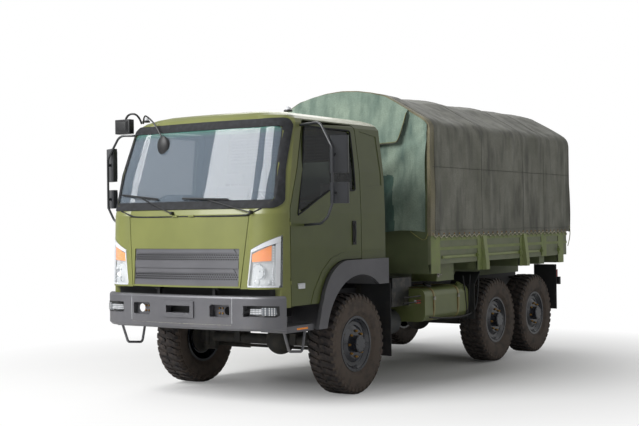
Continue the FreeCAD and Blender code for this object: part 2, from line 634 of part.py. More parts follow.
def tie_rod():
    """Track rod below the two steering arms, with a pin up through each."""
    half = S.kingpin_y
    end_half = S.tie_rod_radius + S.tie_clearance * 2
    top = WHEEL_Z - S.arm_drop - S.arm_thickness - S.tie_clearance
    level = top - end_half
    x = FRONT - S.arm_reach
    pieces = [rod("track_rod", (x, -half, level), "Y", S.tie_rod_radius, half * 2)]
    for side, sign, turn in SIDES:
        pieces.append(rod(f"rod_end_{side}", (x, half * sign, level - end_half), "Z",
                          S.arm_half_width, end_half * 2))
        pieces.append(rod(f"tie_pin_{side}", (x, half * sign, level), "Z", S.tie_pin_radius,
                          end_half + S.tie_clearance * 2 + S.arm_thickness))
    node("tie_rod", fuse("tie_rod_solid", *pieces))


def rear_axles():
    """Two driven beams with a middle bowl, spring pads and a stub for each hub."""
    beams = []
    for axle, x in AXLES[1:]:
        tube_end = S.wheel_offset_y - S.drum_inboard - S.drum_clearance
        stub = S.wheel_offset_y + S.hub_reach - S.hub_cap - S.stub_clearance
        pieces = [
            rod(f"{axle}_tube", (x, -tube_end, WHEEL_Z), "Y", S.rear_tube_radius, tube_end * 2),
            rod(f"{axle}_stub", (x, -stub, WHEEL_Z), "Y", S.spindle_radius, stub * 2),
            ball(f"{axle}_bowl", (x, ZERO, WHEEL_Z), S.diff_radius + S.rear_bowl_extra),
        ]
        for side, sign, turn in SIDES:
            low_y, high_y = side_span(sign, S.rail_outer_y - S.spring_width, S.rail_outer_y)
            pieces.append(block(f"{axle}_pad_{side}", (x - S.spring_pad_half, low_y, WHEEL_Z - S.spring_pad_drop),
                                (x + S.spring_pad_half, high_y, WHEEL_Z + S.spring_pad_top)))
        beams.append(fuse(f"{axle}_beam", *pieces))
    node("rear_axles", group("rear_axles", *beams))


# ---------------------------------------------------------------- frame, springs, power unit
def frame():
    """Ladder frame: two channels open towards each other, and the members between them."""
    front = FRONT + S.rail_front_reach
    rear = REAR - S.rail_rear_reach
    outer = S.rail_outer_y
    web = outer - S.rail_wall
    lip = outer - S.rail_flange
    top = RAIL_TOP - S.rail_wall
    bottom = S.rail_bottom + S.rail_wall
    channel = [(outer, S.rail_bottom), (outer, RAIL_TOP), (lip, RAIL_TOP), (lip, top),
               (web, top), (web, bottom), (lip, bottom), (lip, S.rail_bottom)]
    node("frame_rails", pair("frame_rails", slab("frame_rail", "YZ", channel, rear, front)))
    middle_z = S.rail_bottom + S.rail_height / 2
    low = middle_z - S.cross_height / 2
    places = [FRONT + S.rail_front_reach - 60, FRONT - 1700, MIDDLE + 420,
              (MIDDLE + REAR) / 2, REAR - 420]
    members = [
        block(f"member_{number}", (x - S.cross_width / 2, -web, low),
              (x + S.cross_width / 2, web, low + S.cross_height))
        for number, x in enumerate(places)
    ]
    bar = block("rear_bar", (rear - S.rear_bar_depth, -S.rear_bar_half, middle_z - S.rear_bar_height / 2),
                (rear, S.rear_bar_half, middle_z + S.rear_bar_height / 2))
    tail = rear - S.rear_bar_depth
    hitch = block("hitch_block", (tail - S.hitch_length, -S.hitch_width / 2, middle_z - S.hitch_height / 2),
                  (tail, S.hitch_width / 2, middle_z + S.hitch_height / 2))
    mouth = block("hitch_mouth", (tail - S.hitch_length - 5, -S.hitch_width, middle_z - S.hitch_mouth / 2),
                  (tail - 60, S.hitch_width, middle_z + S.hitch_mouth / 2))
    bore = rod("hitch_pin_bore", (tail - S.hitch_length + 65, ZERO, middle_z - S.hitch_height), "Z",
               S.hitch_bore, S.hitch_height * 2)
    tail_end = cut("hitch_cut", fuse("hitch_solid", bar, hitch), mouth, bore)
    lug_x = FRONT + S.pivot_x
    mounts = []
    for side, sign, turn in SIDES:
        low_y = S.pivot_lug_y if sign > 0 else -S.pivot_lug_y - S.pivot_lug_width
        stand = block(f"pivot_stand_{side}", (lug_x - S.pivot_lug_radius, low_y, RAIL_TOP),
                      (lug_x + S.pivot_lug_radius, low_y + S.pivot_lug_width, S.pivot_z))
        head = rod(f"pivot_head_{side}", (lug_x, low_y, S.pivot_z), "Y", S.pivot_lug_radius, S.pivot_lug_width)
        bore_y = rod(f"pivot_bore_{side}", (lug_x, low_y - 5, S.pivot_z), "Y",
                     S.pivot_pin_radius + S.fit_gap, S.pivot_lug_width + 10)
        mounts.append(cut(f"pivot_lug_{side}", fuse(f"pivot_solid_{side}", stand, head), bore_y))
        low_y = S.tunnel_half_width - 30 if sign > 0 else -S.tunnel_half_width - S.tunnel_wall - 20
        mounts.append(block(f"cab_rest_{side}", (FRONT - S.cab_rest_back - 90, low_y, RAIL_TOP),
                            (FRONT - S.cab_rest_back, low_y + 78, FOOT_FLOOR - S.fit_gap)))
    node("crossmembers", group("crossmembers", *members, tail_end, *mounts))


def springs():
    """Leaf packs: the front ones hang from the rails, the bogie ones turn on a cross trunnion."""
    seat = WHEEL_Z + S.spring_pad_top
    half = S.spring_half_length
    end_top = S.rail_bottom - S.hanger_drop
    end_bottom = end_top - S.leaf_end
    low_y = S.rail_outer_y - S.spring_width
    outline = [
        (FRONT + half, end_top),
        (FRONT + half, end_bottom, -curve_radius(half, end_bottom - seat)),
        (FRONT - half, end_bottom),
        (FRONT - half, end_top, curve_radius(half, end_top - seat - S.spring_thick)),
    ]
    leaves = slab("front_leaves", "XZ", outline, low_y, S.rail_outer_y)
    hangers = [
        block(f"hanger_{end}", (x - S.hanger_length / 2, low_y, end_bottom),
              (x + S.hanger_length / 2, S.rail_outer_y, S.rail_bottom))
        for end, x in (("front", FRONT + half - S.hanger_lap), ("rear", FRONT - half + S.hanger_lap))
    ]
    front = fuse("front_spring", leaves, *hangers)
    centre = (MIDDLE + REAR) / 2
    reach = S.bogie_spacing / 2 + S.bogie_reach
    crown = seat + S.bogie_spring_rise + S.leaf_end
    waist = crown - S.spring_thick / 2 - S.bogie_waist
    bogie_outline = [
        (centre + reach, seat),
        (centre + reach, seat + S.leaf_end),
        (centre + S.bogie_seat_half, crown + S.spring_thick / 2),
        (centre - S.bogie_seat_half, crown + S.spring_thick / 2),
        (centre - reach, seat + S.leaf_end),
        (centre - reach, seat),
        (centre - reach + S.bogie_tip, seat),
        (centre - S.bogie_seat_half, waist),
        (centre + S.bogie_seat_half, waist),
        (centre + reach - S.bogie_tip, seat),
    ]
    bogie_leaves = slab("bogie_leaves", "XZ", bogie_outline, low_y, S.rail_outer_y)
    trunnion = block("trunnion", (centre - S.trunnion_half, low_y, WHEEL_Z - S.trunnion_drop),
                     (centre + S.trunnion_half, S.rail_outer_y, S.rail_bottom))
    bogie = fuse("bogie_spring", bogie_leaves, trunnion)
    node("leaf_springs", group("leaf_springs", front, mirrored("front_spring_right", front),
                               bogie, mirrored("bogie_spring_right", bogie)))


def curve_radius(half_chord, rise):
    """Radius of the arc that rises this much over this half chord."""
    return (half_chord * half_chord + rise * rise) / (rise * 2)


def power_unit():
    """Engine, gearbox and transfer case as plain blocks between and under the rails."""
    gear = block("gearbox", (FRONT + S.gearbox_rear, -S.gearbox_half_width, S.gearbox_bottom),
                 (FRONT + S.engine_rear, S.gearbox_half_width, S.gearbox_top))
    engine = block("engine_block", (FRONT + S.engine_rear, -S.engine_half_width, S.engine_bottom),
                   (FRONT + S.engine_front, S.engine_half_width, S.engine_top))
    link = rod("link_shaft", (FRONT + S.transfer_front - S.link_lap, ZERO, S.transfer_top - S.link_drop), "X",
               S.shaft_radius, S.gearbox_rear - S.transfer_front + S.link_lap * 2)
    case = block("transfer_case", (FRONT + S.transfer_rear, -S.transfer_half_width, S.transfer_bottom),
                 (FRONT + S.transfer_front, S.transfer_half_width, S.transfer_top))
    web = S.rail_outer_y - S.rail_wall
    foot_z = S.rail_bottom + S.rail_wall
    stations = (S.engine_front - S.mount_inset, S.engine_rear + S.mount_width, S.transfer_rear + S.mount_width)
    feet = [
        block(f"mount_{number}", (FRONT + x, -web, foot_z), (FRONT + x + S.mount_width, web, foot_z + S.mount_height))
        for number, x in enumerate(stations)
    ]
    node("power_unit", fuse("power_unit_solid", gear, engine, link, case, *feet))


def drive_shafts():
    """Straight shafts from the transfer case to the front beam, the middle beam and on to the rear."""
    front = rod("front_shaft", (FRONT + S.transfer_front, S.front_diff_y, WHEEL_Z), "X", S.shaft_radius,
                -S.transfer_front - S.diff_radius - S.pinion_reach)
    middle_end = MIDDLE + S.diff_radius
    middle = rod("middle_shaft", (middle_end, ZERO, WHEEL_Z), "X", S.shaft_radius,
                 FRONT + S.transfer_rear - middle_end)
    rear = rod("rear_shaft", (REAR + S.diff_radius, ZERO, WHEEL_Z), "X", S.shaft_radius,
               S.bogie_spacing - S.diff_radius * 2)
    middle_beam = doc.getObject("middle_beam")
    middle_trim = cut("middle_trim", middle, middle_beam)
    rear_trim = cut("rear_trim", cut("rear_trim_back", rear, doc.getObject("rear_beam")), middle_beam)
    node("drive_shafts", group("drive_shafts", front, middle_trim, rear_trim))


# ---------------------------------------------------------------- front end and steps
def bumper():
    """Bowed pressed bumper with rounded edges, hook recesses, a framed towing slot and lamp recesses."""
    nose = FRONT + S.bumper_reach
    wall = S.bumper_wall
    bow = curve_radius(S.bumper_shoulder_y, S.bumper_shoulder_back)
    corner = S.bumper_corner
    end_x = nose - S.bumper_return_back
    inner_x = nose - S.bumper_shoulder_back - wall
    inner_y = S.bumper_end_y - wall
    levels = []
    for z, inset in ((S.bumper_bottom, S.bumper_edge), (S.bumper_bottom + S.bumper_edge, ZERO),
                     (S.bumper_top - S.bumper_edge, ZERO), (S.bumper_top - S.bumper_edge / 3, S.bumper_edge / 3),
                     (S.bumper_top, S.bumper_edge)):
        shoulder_x = nose - S.bumper_shoulder_back - inset
        end_y = S.bumper_end_y - inset
        outline = [
            (end_x, -end_y, corner),
            (shoulder_x, -S.bumper_shoulder_y, bow),
            (shoulder_x, S.bumper_shoulder_y, corner),
            (end_x, end_y),
            (end_x, inner_y, -(corner - wall)),
            (inner_x, S.bumper_shoulder_y, -(bow - wall)),
            (inner_x, -S.bumper_shoulder_y, -(corner - wall)),
            (end_x, -inner_y),
        ]
        levels.append((z, outline))
    beam = lofted("bumper_beam", levels)
    far = nose + S.past_side
    frame_low, frame_high = S.centre_slot_bottom - S.slot_frame, S.centre_slot_top + S.slot_frame
    frame_half = S.centre_slot_half + S.slot_frame
    raised = block("slot_frame", (nose - wall / 2, -frame_half, frame_low),
                   (nose + S.slot_frame_proud, frame_half, frame_high))
    slots = [block("centre_slot", (nose - wall * 3, -S.centre_slot_half, S.centre_slot_bottom),
                   (far, S.centre_slot_half, S.centre_slot_top))]
    arms = []
    arm_top = S.hook_slot_bottom - S.hook_plate
    plate_x = FRONT + S.rail_front_reach
    for side, sign, turn in SIDES:
        low, high = side_span(sign, S.hook_slot_inner, S.hook_slot_outer)
        slots.append(rounded(slab(f"hook_slot_{side}", "YZ",
                                  [(low, S.hook_slot_bottom), (high, S.hook_slot_bottom),
                                   (high, S.hook_slot_top), (low, S.hook_slot_top)],
                                  nose - wall * 2, far), S.hook_slot_corner))
        low, high = side_span(sign, S.fog_inner, S.fog_outer)
        slots.append(block(f"fog_recess_{side}", (nose - S.fog_depth - S.past_side, low, S.fog_bottom),
                           (far, high, S.fog_top)))
        low, high = side_span(sign, S.rail_outer_y - S.rail_flange, S.rail_outer_y)
        arms.append(block(f"bumper_arm_{side}", (plate_x, low, S.rail_bottom),
                          (nose - wall, high, arm_top)))
        low, high = side_span(sign, S.rail_outer_y - S.rail_flange, S.hook_slot_outer + S.hook_plate)
        plate = block(f"hook_plate_{side}", (plate_x, low, arm_top - S.hook_plate * 2),
                      (plate_x + S.hook_plate, high, S.hook_slot_top + S.hook_plate))
        eye = rod(f"hook_eye_{side}", (plate_x - wall, S.hook_eye_y * sign, S.hook_eye_z), "X",
                  S.hook_eye_radius, wall * 2)
        arms.append(cut(f"pierced_plate_{side}", plate, eye))
    node("bumper", fuse("bumper_solid", cut("bumper_cut", fuse("bumper_face", beam, raised), *slots), *arms))


def entry_steps():
    """Tread box under each door with a bent tube as the lower step, on an arm from the rail."""
    front = FRONT + S.step_front
    rear = front - S.step_length
    top = S.step_bottom + S.step_thickness
    tray = rounded(slab("step_tray", "XZ", [(rear, S.step_bottom), (front, S.step_bottom), (front, top), (rear, top)],
                        S.step_inner, S.step_outer), S.step_edge)
    arm = block("step_arm", (rear + S.step_edge, S.rail_outer_y, top - S.step_thickness / 2),
                (rear + S.step_edge + S.step_arm_width, S.step_inner + S.step_lap, top + S.step_thickness))
    y = S.step_outer - S.loop_inset
    fixed = S.step_bottom + S.loop_tube
    line = [
        (front - S.loop_front_back, y, fixed),
        (FRONT + S.loop_toe_x, y, S.loop_toe_z),
        (FRONT + S.loop_heel_x, y, S.loop_heel_z),
        (rear + S.loop_rear_ahead, y, fixed),
    ]
    loop = bent_tube("step_loop", line, S.loop_tube, S.loop_bend)
    node("entry_steps", pair("entry_steps", fuse("entry_step", tray, arm, loop)))


# ---------------------------------------------------------------- cab
CAB_SECTIONS = [
    # height, centre reach, shoulder reach, shoulder y, side reach, half width inset, rear inset, share of
    # an offset that lowers the level
    (1000, 1500, 1432, 800, 1170, 0, 0, 0),
    (1950, 1442, 1380, 800, 1190, 0, 0, 0),
    (2400, 1291, 1236, 770, 1110, 15, 0, 0),
    (2885, 1135, 1085, 740, 945, 75, 0, 0),
    (2930, 1112, 1065, 715, 910, 110, 5, 0.2),
    (2965, 1085, 1040, 660, 850, 165, 15, 0.5),
    (2998, 1030, 995, 600, 780, 265, 55, 0.8),
    (3020, 960, 930, 520, 700, 380, 110, 1),
]
SECTION_COLUMNS = ("z", "nose", "shoulder_x", "shoulder_y", "side_x", "inset", "rear", "sink")


def cab_solid(label, offset):
    """The cab's outer form, taken in by an offset, as a loft through level sections."""
    levels = []
    for row in CAB_SECTIONS:
        section = dict(zip(SECTION_COLUMNS, (Size(value) for value in row)))
        half = S.cab_half_width - section["inset"] - offset
        rear = FRONT - S.cab_rear_back + section["rear"] + offset
        shoulder_x = FRONT + section["shoulder_x"] - offset
        shoulder_y = section["shoulder_y"]
        side_x = FRONT + section["side_x"]
        bow = curve_radius(shoulder_y, section["nose"] - section["shoulder_x"])
        corner = S.corner_radius
        outline = [
            (rear, -half),
            (side_x, -half, corner),
            (shoulder_x, -shoulder_y, bow),
            (shoulder_x, shoulder_y, corner),
            (side_x, half),
            (rear, half),
        ]
        levels.append((section["z"] - section["sink"] * offset, outline))
    return lofted(label, levels)


def door_outline(gap):
    """Side view of the door opening, taken in by a gap; it follows the flare's arc over the wheel."""
    front = FRONT + S.split_low_x - gap
    rear = FRONT + S.door_rear_x + gap
    over = S.flare_top + gap
    return [
        (FRONT + S.door_heel_x + gap, S.door_bottom + gap),
        (front, S.door_bottom + gap),
        (front, S.split_knee_z),
        (FRONT + S.split_top_x - gap, S.door_top - gap),
        (rear, S.door_top - gap),
        (rear, over),
        (FRONT + S.flare_crown_x, over, -(S.flare_arc + gap)),
        (FRONT + S.flare_knee_x + gap, S.flare_knee_z + gap / 4),
    ]


def door_shape(label, gap, low_y, high_y):
    """The door opening through one side, with its two upper corners rounded."""
    opening = slab(label, "XZ", door_outline(gap), low_y, high_y)
    above = float(S.door_top - gap) - 1
    return rounded(opening, S.door_corner, lambda spot: spot.z > above)


def window_outline():
    """Side view of the door window, with a sill that drops towards the front."""
    return [
        (FRONT + S.window_front_x, S.window_sill_front),
        (FRONT + S.window_top_front_x, S.window_top),
        (FRONT + S.window_rear_x, S.window_top),
        (FRONT + S.window_rear_x, S.window_sill),
        (FRONT + S.window_sill_x, S.window_sill),
    ]


CREASE = [
    # the pressed line over the wheel: reach ahead of the front axle, height
    (820, 1012), (756, 1157), (610, 1346), (429, 1479), (203, 1532), (-690, 1540),
]
PRESSED_PANEL = [
    # the shallow panel behind the door: reach ahead of the front axle, height
    (-638, 2262), (-338, 2239), (-270, 2855), (-610, 2812),
]


def crease(label, sign):
    """The raised line that runs over the wheel arch on one side."""
    upper = [(FRONT + x, z) for x, z in CREASE]
    lower = [(FRONT + x - S.crease_width, z - S.crease_width) for x, z in CREASE[::-1]]
    low_y, high_y = side_span(sign, S.cab_half_width - S.crease_root, S.cab_half_width + S.crease_proud)
    return slab(label, "XZ", upper + lower, low_y, high_y)


def screen_outline():
    """Front view of the windscreen opening, narrower at the top, with round corners."""
    low, high = S.screen_bottom_half, S.screen_top_half
    corner = S.screen_corner
    return [
        (-(low - corner), S.screen_bottom),
        (low - corner, S.screen_bottom, corner),
        (low - 8, S.screen_bottom + corner),
        (high + 12, S.screen_top - corner, corner),
        (high - corner + 5, S.screen_top),
        (-(high - corner + 5), S.screen_top, corner),
        (-(high + 12), S.screen_top - corner),
        (-(low - 8), S.screen_bottom + corner, corner),
    ]


def flap_outline(grow):
    """Front view of the flap, grown by its gap for the opening."""
    return [
        (-(S.flap_bottom_half + grow), S.flap_bottom - grow),
        (S.flap_bottom_half + grow, S.flap_bottom - grow),
        (S.flap_top_half + grow, S.flap_top + grow),
        (-(S.flap_top_half + grow), S.flap_top + grow),
    ]


def lamp_outline(sign):
    outline = [
        (S.lamp_inner_bottom_y * sign, S.lamp_bottom),
        (S.lamp_outer_y * sign, S.lamp_bottom),
        (S.lamp_outer_y * sign, S.lamp_outer_top),
        (S.lamp_inner_top_y * sign, S.lamp_inner_top),
    ]
    return outline if sign > 0 else outline[::-1]


def cab():
    """The cab shell, split where its panels meet, with doors, flap, glass and lamps."""
    outer = cab_solid("cab_outer", ZERO)
    inner = cab_solid("cab_inner", S.wall)
    shell = cut("cab_shell", outer, inner)
    glass_outer = cab_solid("glass_outer", S.glass_inset)
    glass_inner = cab_solid("glass_inner", S.glass_inset + S.glass_thickness)
    glass_shell = cut("glass_shell", glass_outer, glass_inner)
    pressed_skin = cut("pressed_skin", outer, cab_solid("pressed_inner", S.pressed_depth))
    rear = FRONT - S.cab_rear_back
    far_x = FRONT + S.past_nose
    wide = S.cab_half_width + S.past_side
    lean = (S.split_low_x - S.split_top_x) / (S.door_top - S.split_knee_z) * (S.roof_split_z - S.door_top)
    split = [
        (FRONT + S.split_low_x, S.cab_floor_edge - S.past_side),
        (far_x, S.cab_floor_edge - S.past_side),
        (far_x, S.roof_split_z),
        (FRONT + S.split_top_x - lean, S.roof_split_z),
        (FRONT + S.split_top_x, S.door_top),
        (FRONT + S.split_low_x, S.split_knee_z),
    ]
    # roof
    above = block("above_split", (rear - S.past_side, -wide, S.roof_split_z), (far_x, wide, S.bed_top))
    node("cab_roof", common("cab_roof_shape", shell, above))
    # back wall, with its window
    back_zone = block("back_zone", (rear - S.past_side, -wide, S.quarter_bottom),
                      (rear + S.wall, wide, S.roof_split_z))
    back_window = block("back_window", (rear - S.past_side, -S.back_window_half, S.back_window_bottom),
                        (rear + S.wall + S.past_side, S.back_window_half, S.back_window_top))
    node("cab_back", cut("cab_back_shape", common("cab_back_wall", shell, back_zone), back_window))
    node("rear_window", common("rear_window_shape", glass_shell, back_window))
    # front
    front_zone = slab("front_zone", "XZ", split, -wide, wide)
    under_nose = block("under_nose", (FRONT + S.firewall_x, -wide, S.cab_floor_edge - S.past_side),
                       (far_x, wide, S.cab_front_edge))
    below_front = block("below_front", (FRONT, -wide, S.cab_floor_edge - S.past_side),
                        (far_x, wide, S.cab_floor_edge))
    screen_hole = slab("screen_hole", "YZ", screen_outline(), FRONT + S.front_start, far_x)
    flap_hole = slab("flap_hole", "YZ", flap_outline(S.flap_gap), FRONT + S.firewall_x, far_x)
    lamp_holes = [
        slab(f"lamp_hole_{side}", "YZ", lamp_outline(sign), FRONT + S.lamp_start, far_x)
        for side, sign, turn in SIDES
    ]
    hinges = {side: door_hinges(side, sign) for side, sign, turn in SIDES}
    front = common("cab_front_zone", shell, front_zone)
    holes = [under_nose, below_front, screen_hole, flap_hole, *lamp_holes]
    knuckles = []
    for halves in hinges.values():
        knuckles += halves[0]
        holes += halves[2]
    knuckles += flap_knuckles("cab", -S.flap_hinge_y - S.knuckle_length, S.flap_hinge_y)
    holes += flap_room("cab", -S.flap_hinge_y, S.flap_hinge_y - S.knuckle_length)
    front = cut("cab_front_panel", front, *holes)
    node("cab_front", fuse("cab_front_shape", front, *knuckles, *flap_pins()))
    node("windshield", common("windshield_shape", glass_shell, screen_hole))
    lamps = [common(f"headlamp_{side}", shell, hole)
             for (side, sign, turn), hole in zip(SIDES, lamp_holes)]
    node("headlamps", group("headlamps", *lamps))
    flap_and_grille(outer, glass_inner, glass_shell, far_x)
    # right side and door, then the left ones as their mirror image
    low_y, high_y = side_span(-1, S.seat_centre_y, wide)
    side_outline = [
        (rear + S.wall, S.quarter_bottom),
        (FRONT + S.flare_crown_x, S.quarter_bottom),
        (FRONT + S.flare_crown_x, S.window_top),
        (FRONT + S.split_top_x + lean, S.window_top),
        (FRONT + S.split_top_x, S.door_top),
        (FRONT + S.split_top_x - lean, S.roof_split_z),
        (rear + S.wall, S.roof_split_z),
    ]
    zone = slab("side_zone", "XZ", side_outline, low_y, high_y)
    opening = door_shape("door_opening", ZERO, low_y, high_y)
    panel_outline = [(FRONT + x, z) for x, z in PRESSED_PANEL]
    recess = common("recess", pressed_skin, slab("pressed_panel", "XZ", panel_outline, low_y, high_y))
    wall = cut("cab_wall", common("cab_wall_zone", shell, zone), opening, recess)
    line = crease("crease", -1)
    wall_line = common("wall_line", line, cut("wall_line_zone", zone, opening))
    door_zone = door_shape("door_zone", S.shut_gap, low_y, high_y)
    window = rounded(slab("window", "XZ", window_outline(), low_y, high_y), S.window_corner)
    cab_halves, door_halves, cab_room, door_room, bores = hinges["right"]
    door = cut("door_panel", common("door_skin", shell, door_zone), window, *door_room)
    hung = fuse("door_hung", door, common("door_line", line, door_zone), *door_halves)
    for name, shape in (("cab_side", fuse("cab_side_shape", wall, wall_line)),
                        ("door", cut("door_shape", hung, *bores)),
                        ("door_glass", common("door_glass_shape", glass_shell, window)),
                        ("mirrors", mirrors())):
        node(f"{name}_right", shape)
        node(f"{name}_left", mirrored(f"{name}_mirror", shape))


GRILLE_BARS = [
    # bottom and top of each flat bar, and how far a bar's upper corners are cut off
    (1226, 1275, 0), (1357, 1398, 60), (1404, 1478, 0), (1557, 1598, 60),
]
GRILLE_ROWS = [
    # height of each row of round holes
    1294, 1316, 1338, 1493, 1515, 1537,
]


def flap_and_grille(outer, glass_inner, glass_shell, far_x):
    """The hinged front flap, and the pierced grille with its proud bars set in it."""
    start = FRONT + S.firewall_x
    plate = slab("flap_plate", "YZ", flap_outline(ZERO), start, far_x)
    skin = cut("flap_skin", outer, glass_inner)
    zone = block("grille_zone", (start, -S.grille_half, S.flap_bottom + S.grille_margin),
                 (far_x, S.grille_half, S.grille_top))
    frame_shape = cut("flap_frame", common("flap_body", skin, plate), zone,
                      *flap_room("flap", -S.flap_hinge_y - S.knuckle_length, S.flap_hinge_y))
    barrels = flap_knuckles("flap", 1 - S.flap_hinge_y, S.flap_hinge_y - S.knuckle_length - 1)
    node("front_flap", cut("front_flap_shape", fuse("flap_solid", frame_shape, *barrels), *flap_bores()))
    row_half = S.grille_half - S.hole_margin - S.hole_radius - S.hole_pitch / 4
    count = int(float(row_half * 2 / S.hole_pitch))
    punches = []
    for row, z in enumerate(GRILLE_ROWS):
        shift = float(S.hole_pitch) / 4 * (1 if row % 2 else -1)
        for number in range(count + 1):
            y = (number - count / 2) * float(S.hole_pitch) + shift
            punches.append(Part.makeCylinder(float(S.hole_radius), float(far_x - start),
                                             Vector(float(start), y, z), Vector(1, 0, 0)))
    holes = doc.addObject("Part::Feature", "grille_holes")
    holes.Shape = Part.makeCompound(punches)
    sheet_metal = cut("grille_sheet", common("grille_skin", glass_shell, zone), holes)
    proud = cut("bar_skin", cab_solid("bar_outer", S.bar_inset),
                cab_solid("bar_inner", S.glass_inset + S.glass_thickness / 2))
    bars = []
    for number, (bottom, top, cut_off) in enumerate(GRILLE_BARS):
        half = S.grille_half - S.hole_margin / 2
        outline = [
            (-half + cut_off / 2, bottom),
            (half - cut_off / 2, bottom),
            (half - cut_off, Size(top)),
            (-half + cut_off, Size(top)),
        ]
        bars.append(common(f"grille_bar_{number}", proud, slab(f"bar_zone_{number}", "YZ", outline, start, far_x)))
    node("grille", fuse("grille_shape", sheet_metal, *bars))


def flap_knuckles(owner, *starts):
    """Barrels of the flap's hinge that one of its two panels carries."""
    x = FRONT + S.flap_hinge_x
    return [rod(f"{owner}_flap_knuckle_{number}", (x, y, S.flap_hinge_z), "Y", S.knuckle_radius, S.knuckle_length)
            for number, y in enumerate(starts)]


def flap_room(owner, *starts):
    """Room in a panel for the other panel's hinge barrels."""
    x = FRONT + S.flap_hinge_x
    return [rod(f"{owner}_flap_room_{number}", (x, y - 2, S.flap_hinge_z), "Y", S.knuckle_radius + 3,
                S.knuckle_length + 4)
            for number, y in enumerate(starts)]


def flap_pins():
    x = FRONT + S.flap_hinge_x
    starts = (-S.flap_hinge_y - S.knuckle_length, S.flap_hinge_y - S.knuckle_length)
    return [rod(f"flap_pin_{number}", (x, y, S.flap_hinge_z), "Y", S.pin_radius, S.knuckle_length * 2)
            for number, y in enumerate(starts)]


def flap_bores():
    x = FRONT + S.flap_hinge_x
    starts = (-S.flap_hinge_y - S.knuckle_length, S.flap_hinge_y - S.knuckle_length)
    return [rod(f"flap_bore_{number}", (x, y - 5, S.flap_hinge_z), "Y", S.pin_radius + S.fit_gap,
                S.knuckle_length * 2 + 10)
            for number, y in enumerate(starts)]


def door_hinges(side, sign):
    """Two knuckle hinges on the front edge of a door: the lower half of each is the cab's."""
    x = FRONT + S.split_low_x - S.shut_gap / 2
    y = S.cab_half_width * sign
    length = S.knuckle_length
    cab_halves, door_halves, cab_room, door_room, bores = [], [], [], [], []
    for number, z in enumerate((S.hinge_low_z, S.hinge_high_z)):
        tag = f"{side}_{number}"
        cab_halves.append(rod(f"cab_knuckle_{tag}", (x, y, z), "Z", S.knuckle_radius, length))
        cab_halves.append(rod(f"hinge_pin_{tag}", (x, y, z), "Z", S.pin_radius, length * 2))
        door_halves.append(rod(f"door_knuckle_{tag}", (x, y, z + length + 1), "Z", S.knuckle_radius, length))
        door_room.append(rod(f"door_room_{tag}", (x, y, z - 3), "Z", S.knuckle_radius + 3, length + 4))
        cab_room.append(rod(f"cab_room_{tag}", (x, y, z + length), "Z", S.knuckle_radius + 3, length + 4))
        bores.append(rod(f"hinge_bore_{tag}", (x, y, z), "Z", S.pin_radius + S.fit_gap, length * 2 + 5))
    return cab_halves, door_halves, cab_room, door_room, bores


MIRROR_LINE = [
    # points of the mirror tube: back from the pole, in from the pole, height
    (96, 466, 2855), (26, 162, 2865), (0, 0, 2604), (0, 0, 2054), (16, 70, 1914), (36, 166, 1844), (56, 410, 1830),
]


def mirrors():
    """Two mirror heads clamped to a bent tube that stands off the right door."""
    x = FRONT + S.mirror_pole_x
    pole_y = -S.mirror_pole_y
    line = [(x - back, pole_y + inward, z) for back, inward, z in MIRROR_LINE]
    pieces = [bent_tube("mirror_tube", line, S.mirror_tube, S.mirror_bend)]
    turn = math.radians(float(S.mirror_turn))
    across = (math.sin(turn), math.cos(turn))
    ahead = (math.cos(turn), -math.sin(turn))
    centre = (x - S.mirror_head_back, pole_y - S.mirror_head_out)
    outline = [
        tuple(centre[axis] + S.mirror_head_depth / 2 * (ahead[axis] * along)
              + S.mirror_head_width / 2 * (across[axis] * side) for axis in range(2))
        for along, side in ((-1, -1), (1, -1), (1, 1), (-1, 1))
    ]
    for name, bottom, height in (("big", S.mirror_big_bottom, S.mirror_big_height),
                                 ("small", S.mirror_small_bottom, S.mirror_small_height)):
        head = slab(f"mirror_{name}", "XY", outline, bottom, bottom + height)
        pieces.append(rounded(head, S.mirror_edge))
        pieces.append(rod(f"mirror_clamp_{name}", (x - S.mirror_head_back, pole_y, bottom + height / 2), "X",
                          S.mirror_clamp, S.mirror_head_back))
    return cut("mirrors_shape", fuse("mirrors_solid", *pieces), doc.getObject("cab_outer"))


def wheel_arches():
    """Flare plate outside each front wheel, and the liner that curves over the tyre."""
    centre_x = FRONT + S.arch_centre_x
    inner = S.arch_radius
    outer = inner + S.liner_thickness
    face = [
        (FRONT + S.flare_front_x, S.flare_foot),
        (FRONT + S.flare_heel_x, S.cab_floor_edge - S.flare_heel_drop),
        (FRONT + S.flare_knee_x, S.flare_knee_z, S.flare_arc),
        (FRONT + S.flare_crown_x, S.flare_top),
        (FRONT + S.flare_rear_x, S.flare_top),
        (FRONT + S.flare_rear_x, S.flare_rear_z),
        (FRONT - S.arch_rear_reach, S.flare_rear_z, -S.arch_opening),
        (FRONT + S.arch_front_reach, S.flare_foot),
    ]
    plate = slab("flare_plate", "XZ", face, S.cab_half_width, S.cab_half_width + S.flare_thickness)
    liner = [
        (centre_x + S.liner_front_reach, S.flare_foot),
        (centre_x + S.liner_front_reach + S.liner_thickness, S.flare_foot, outer),
        (centre_x - S.liner_rear_reach - S.liner_edge, S.flare_rear_z),
        (centre_x - S.liner_rear_reach, S.flare_rear_z, -inner),
    ]
    band = slab("arch_liner", "XZ", liner, S.liner_inner_y, S.cab_half_width)
    node("wheel_arches", pair("wheel_arches", fuse("wheel_arch", plate, band)))


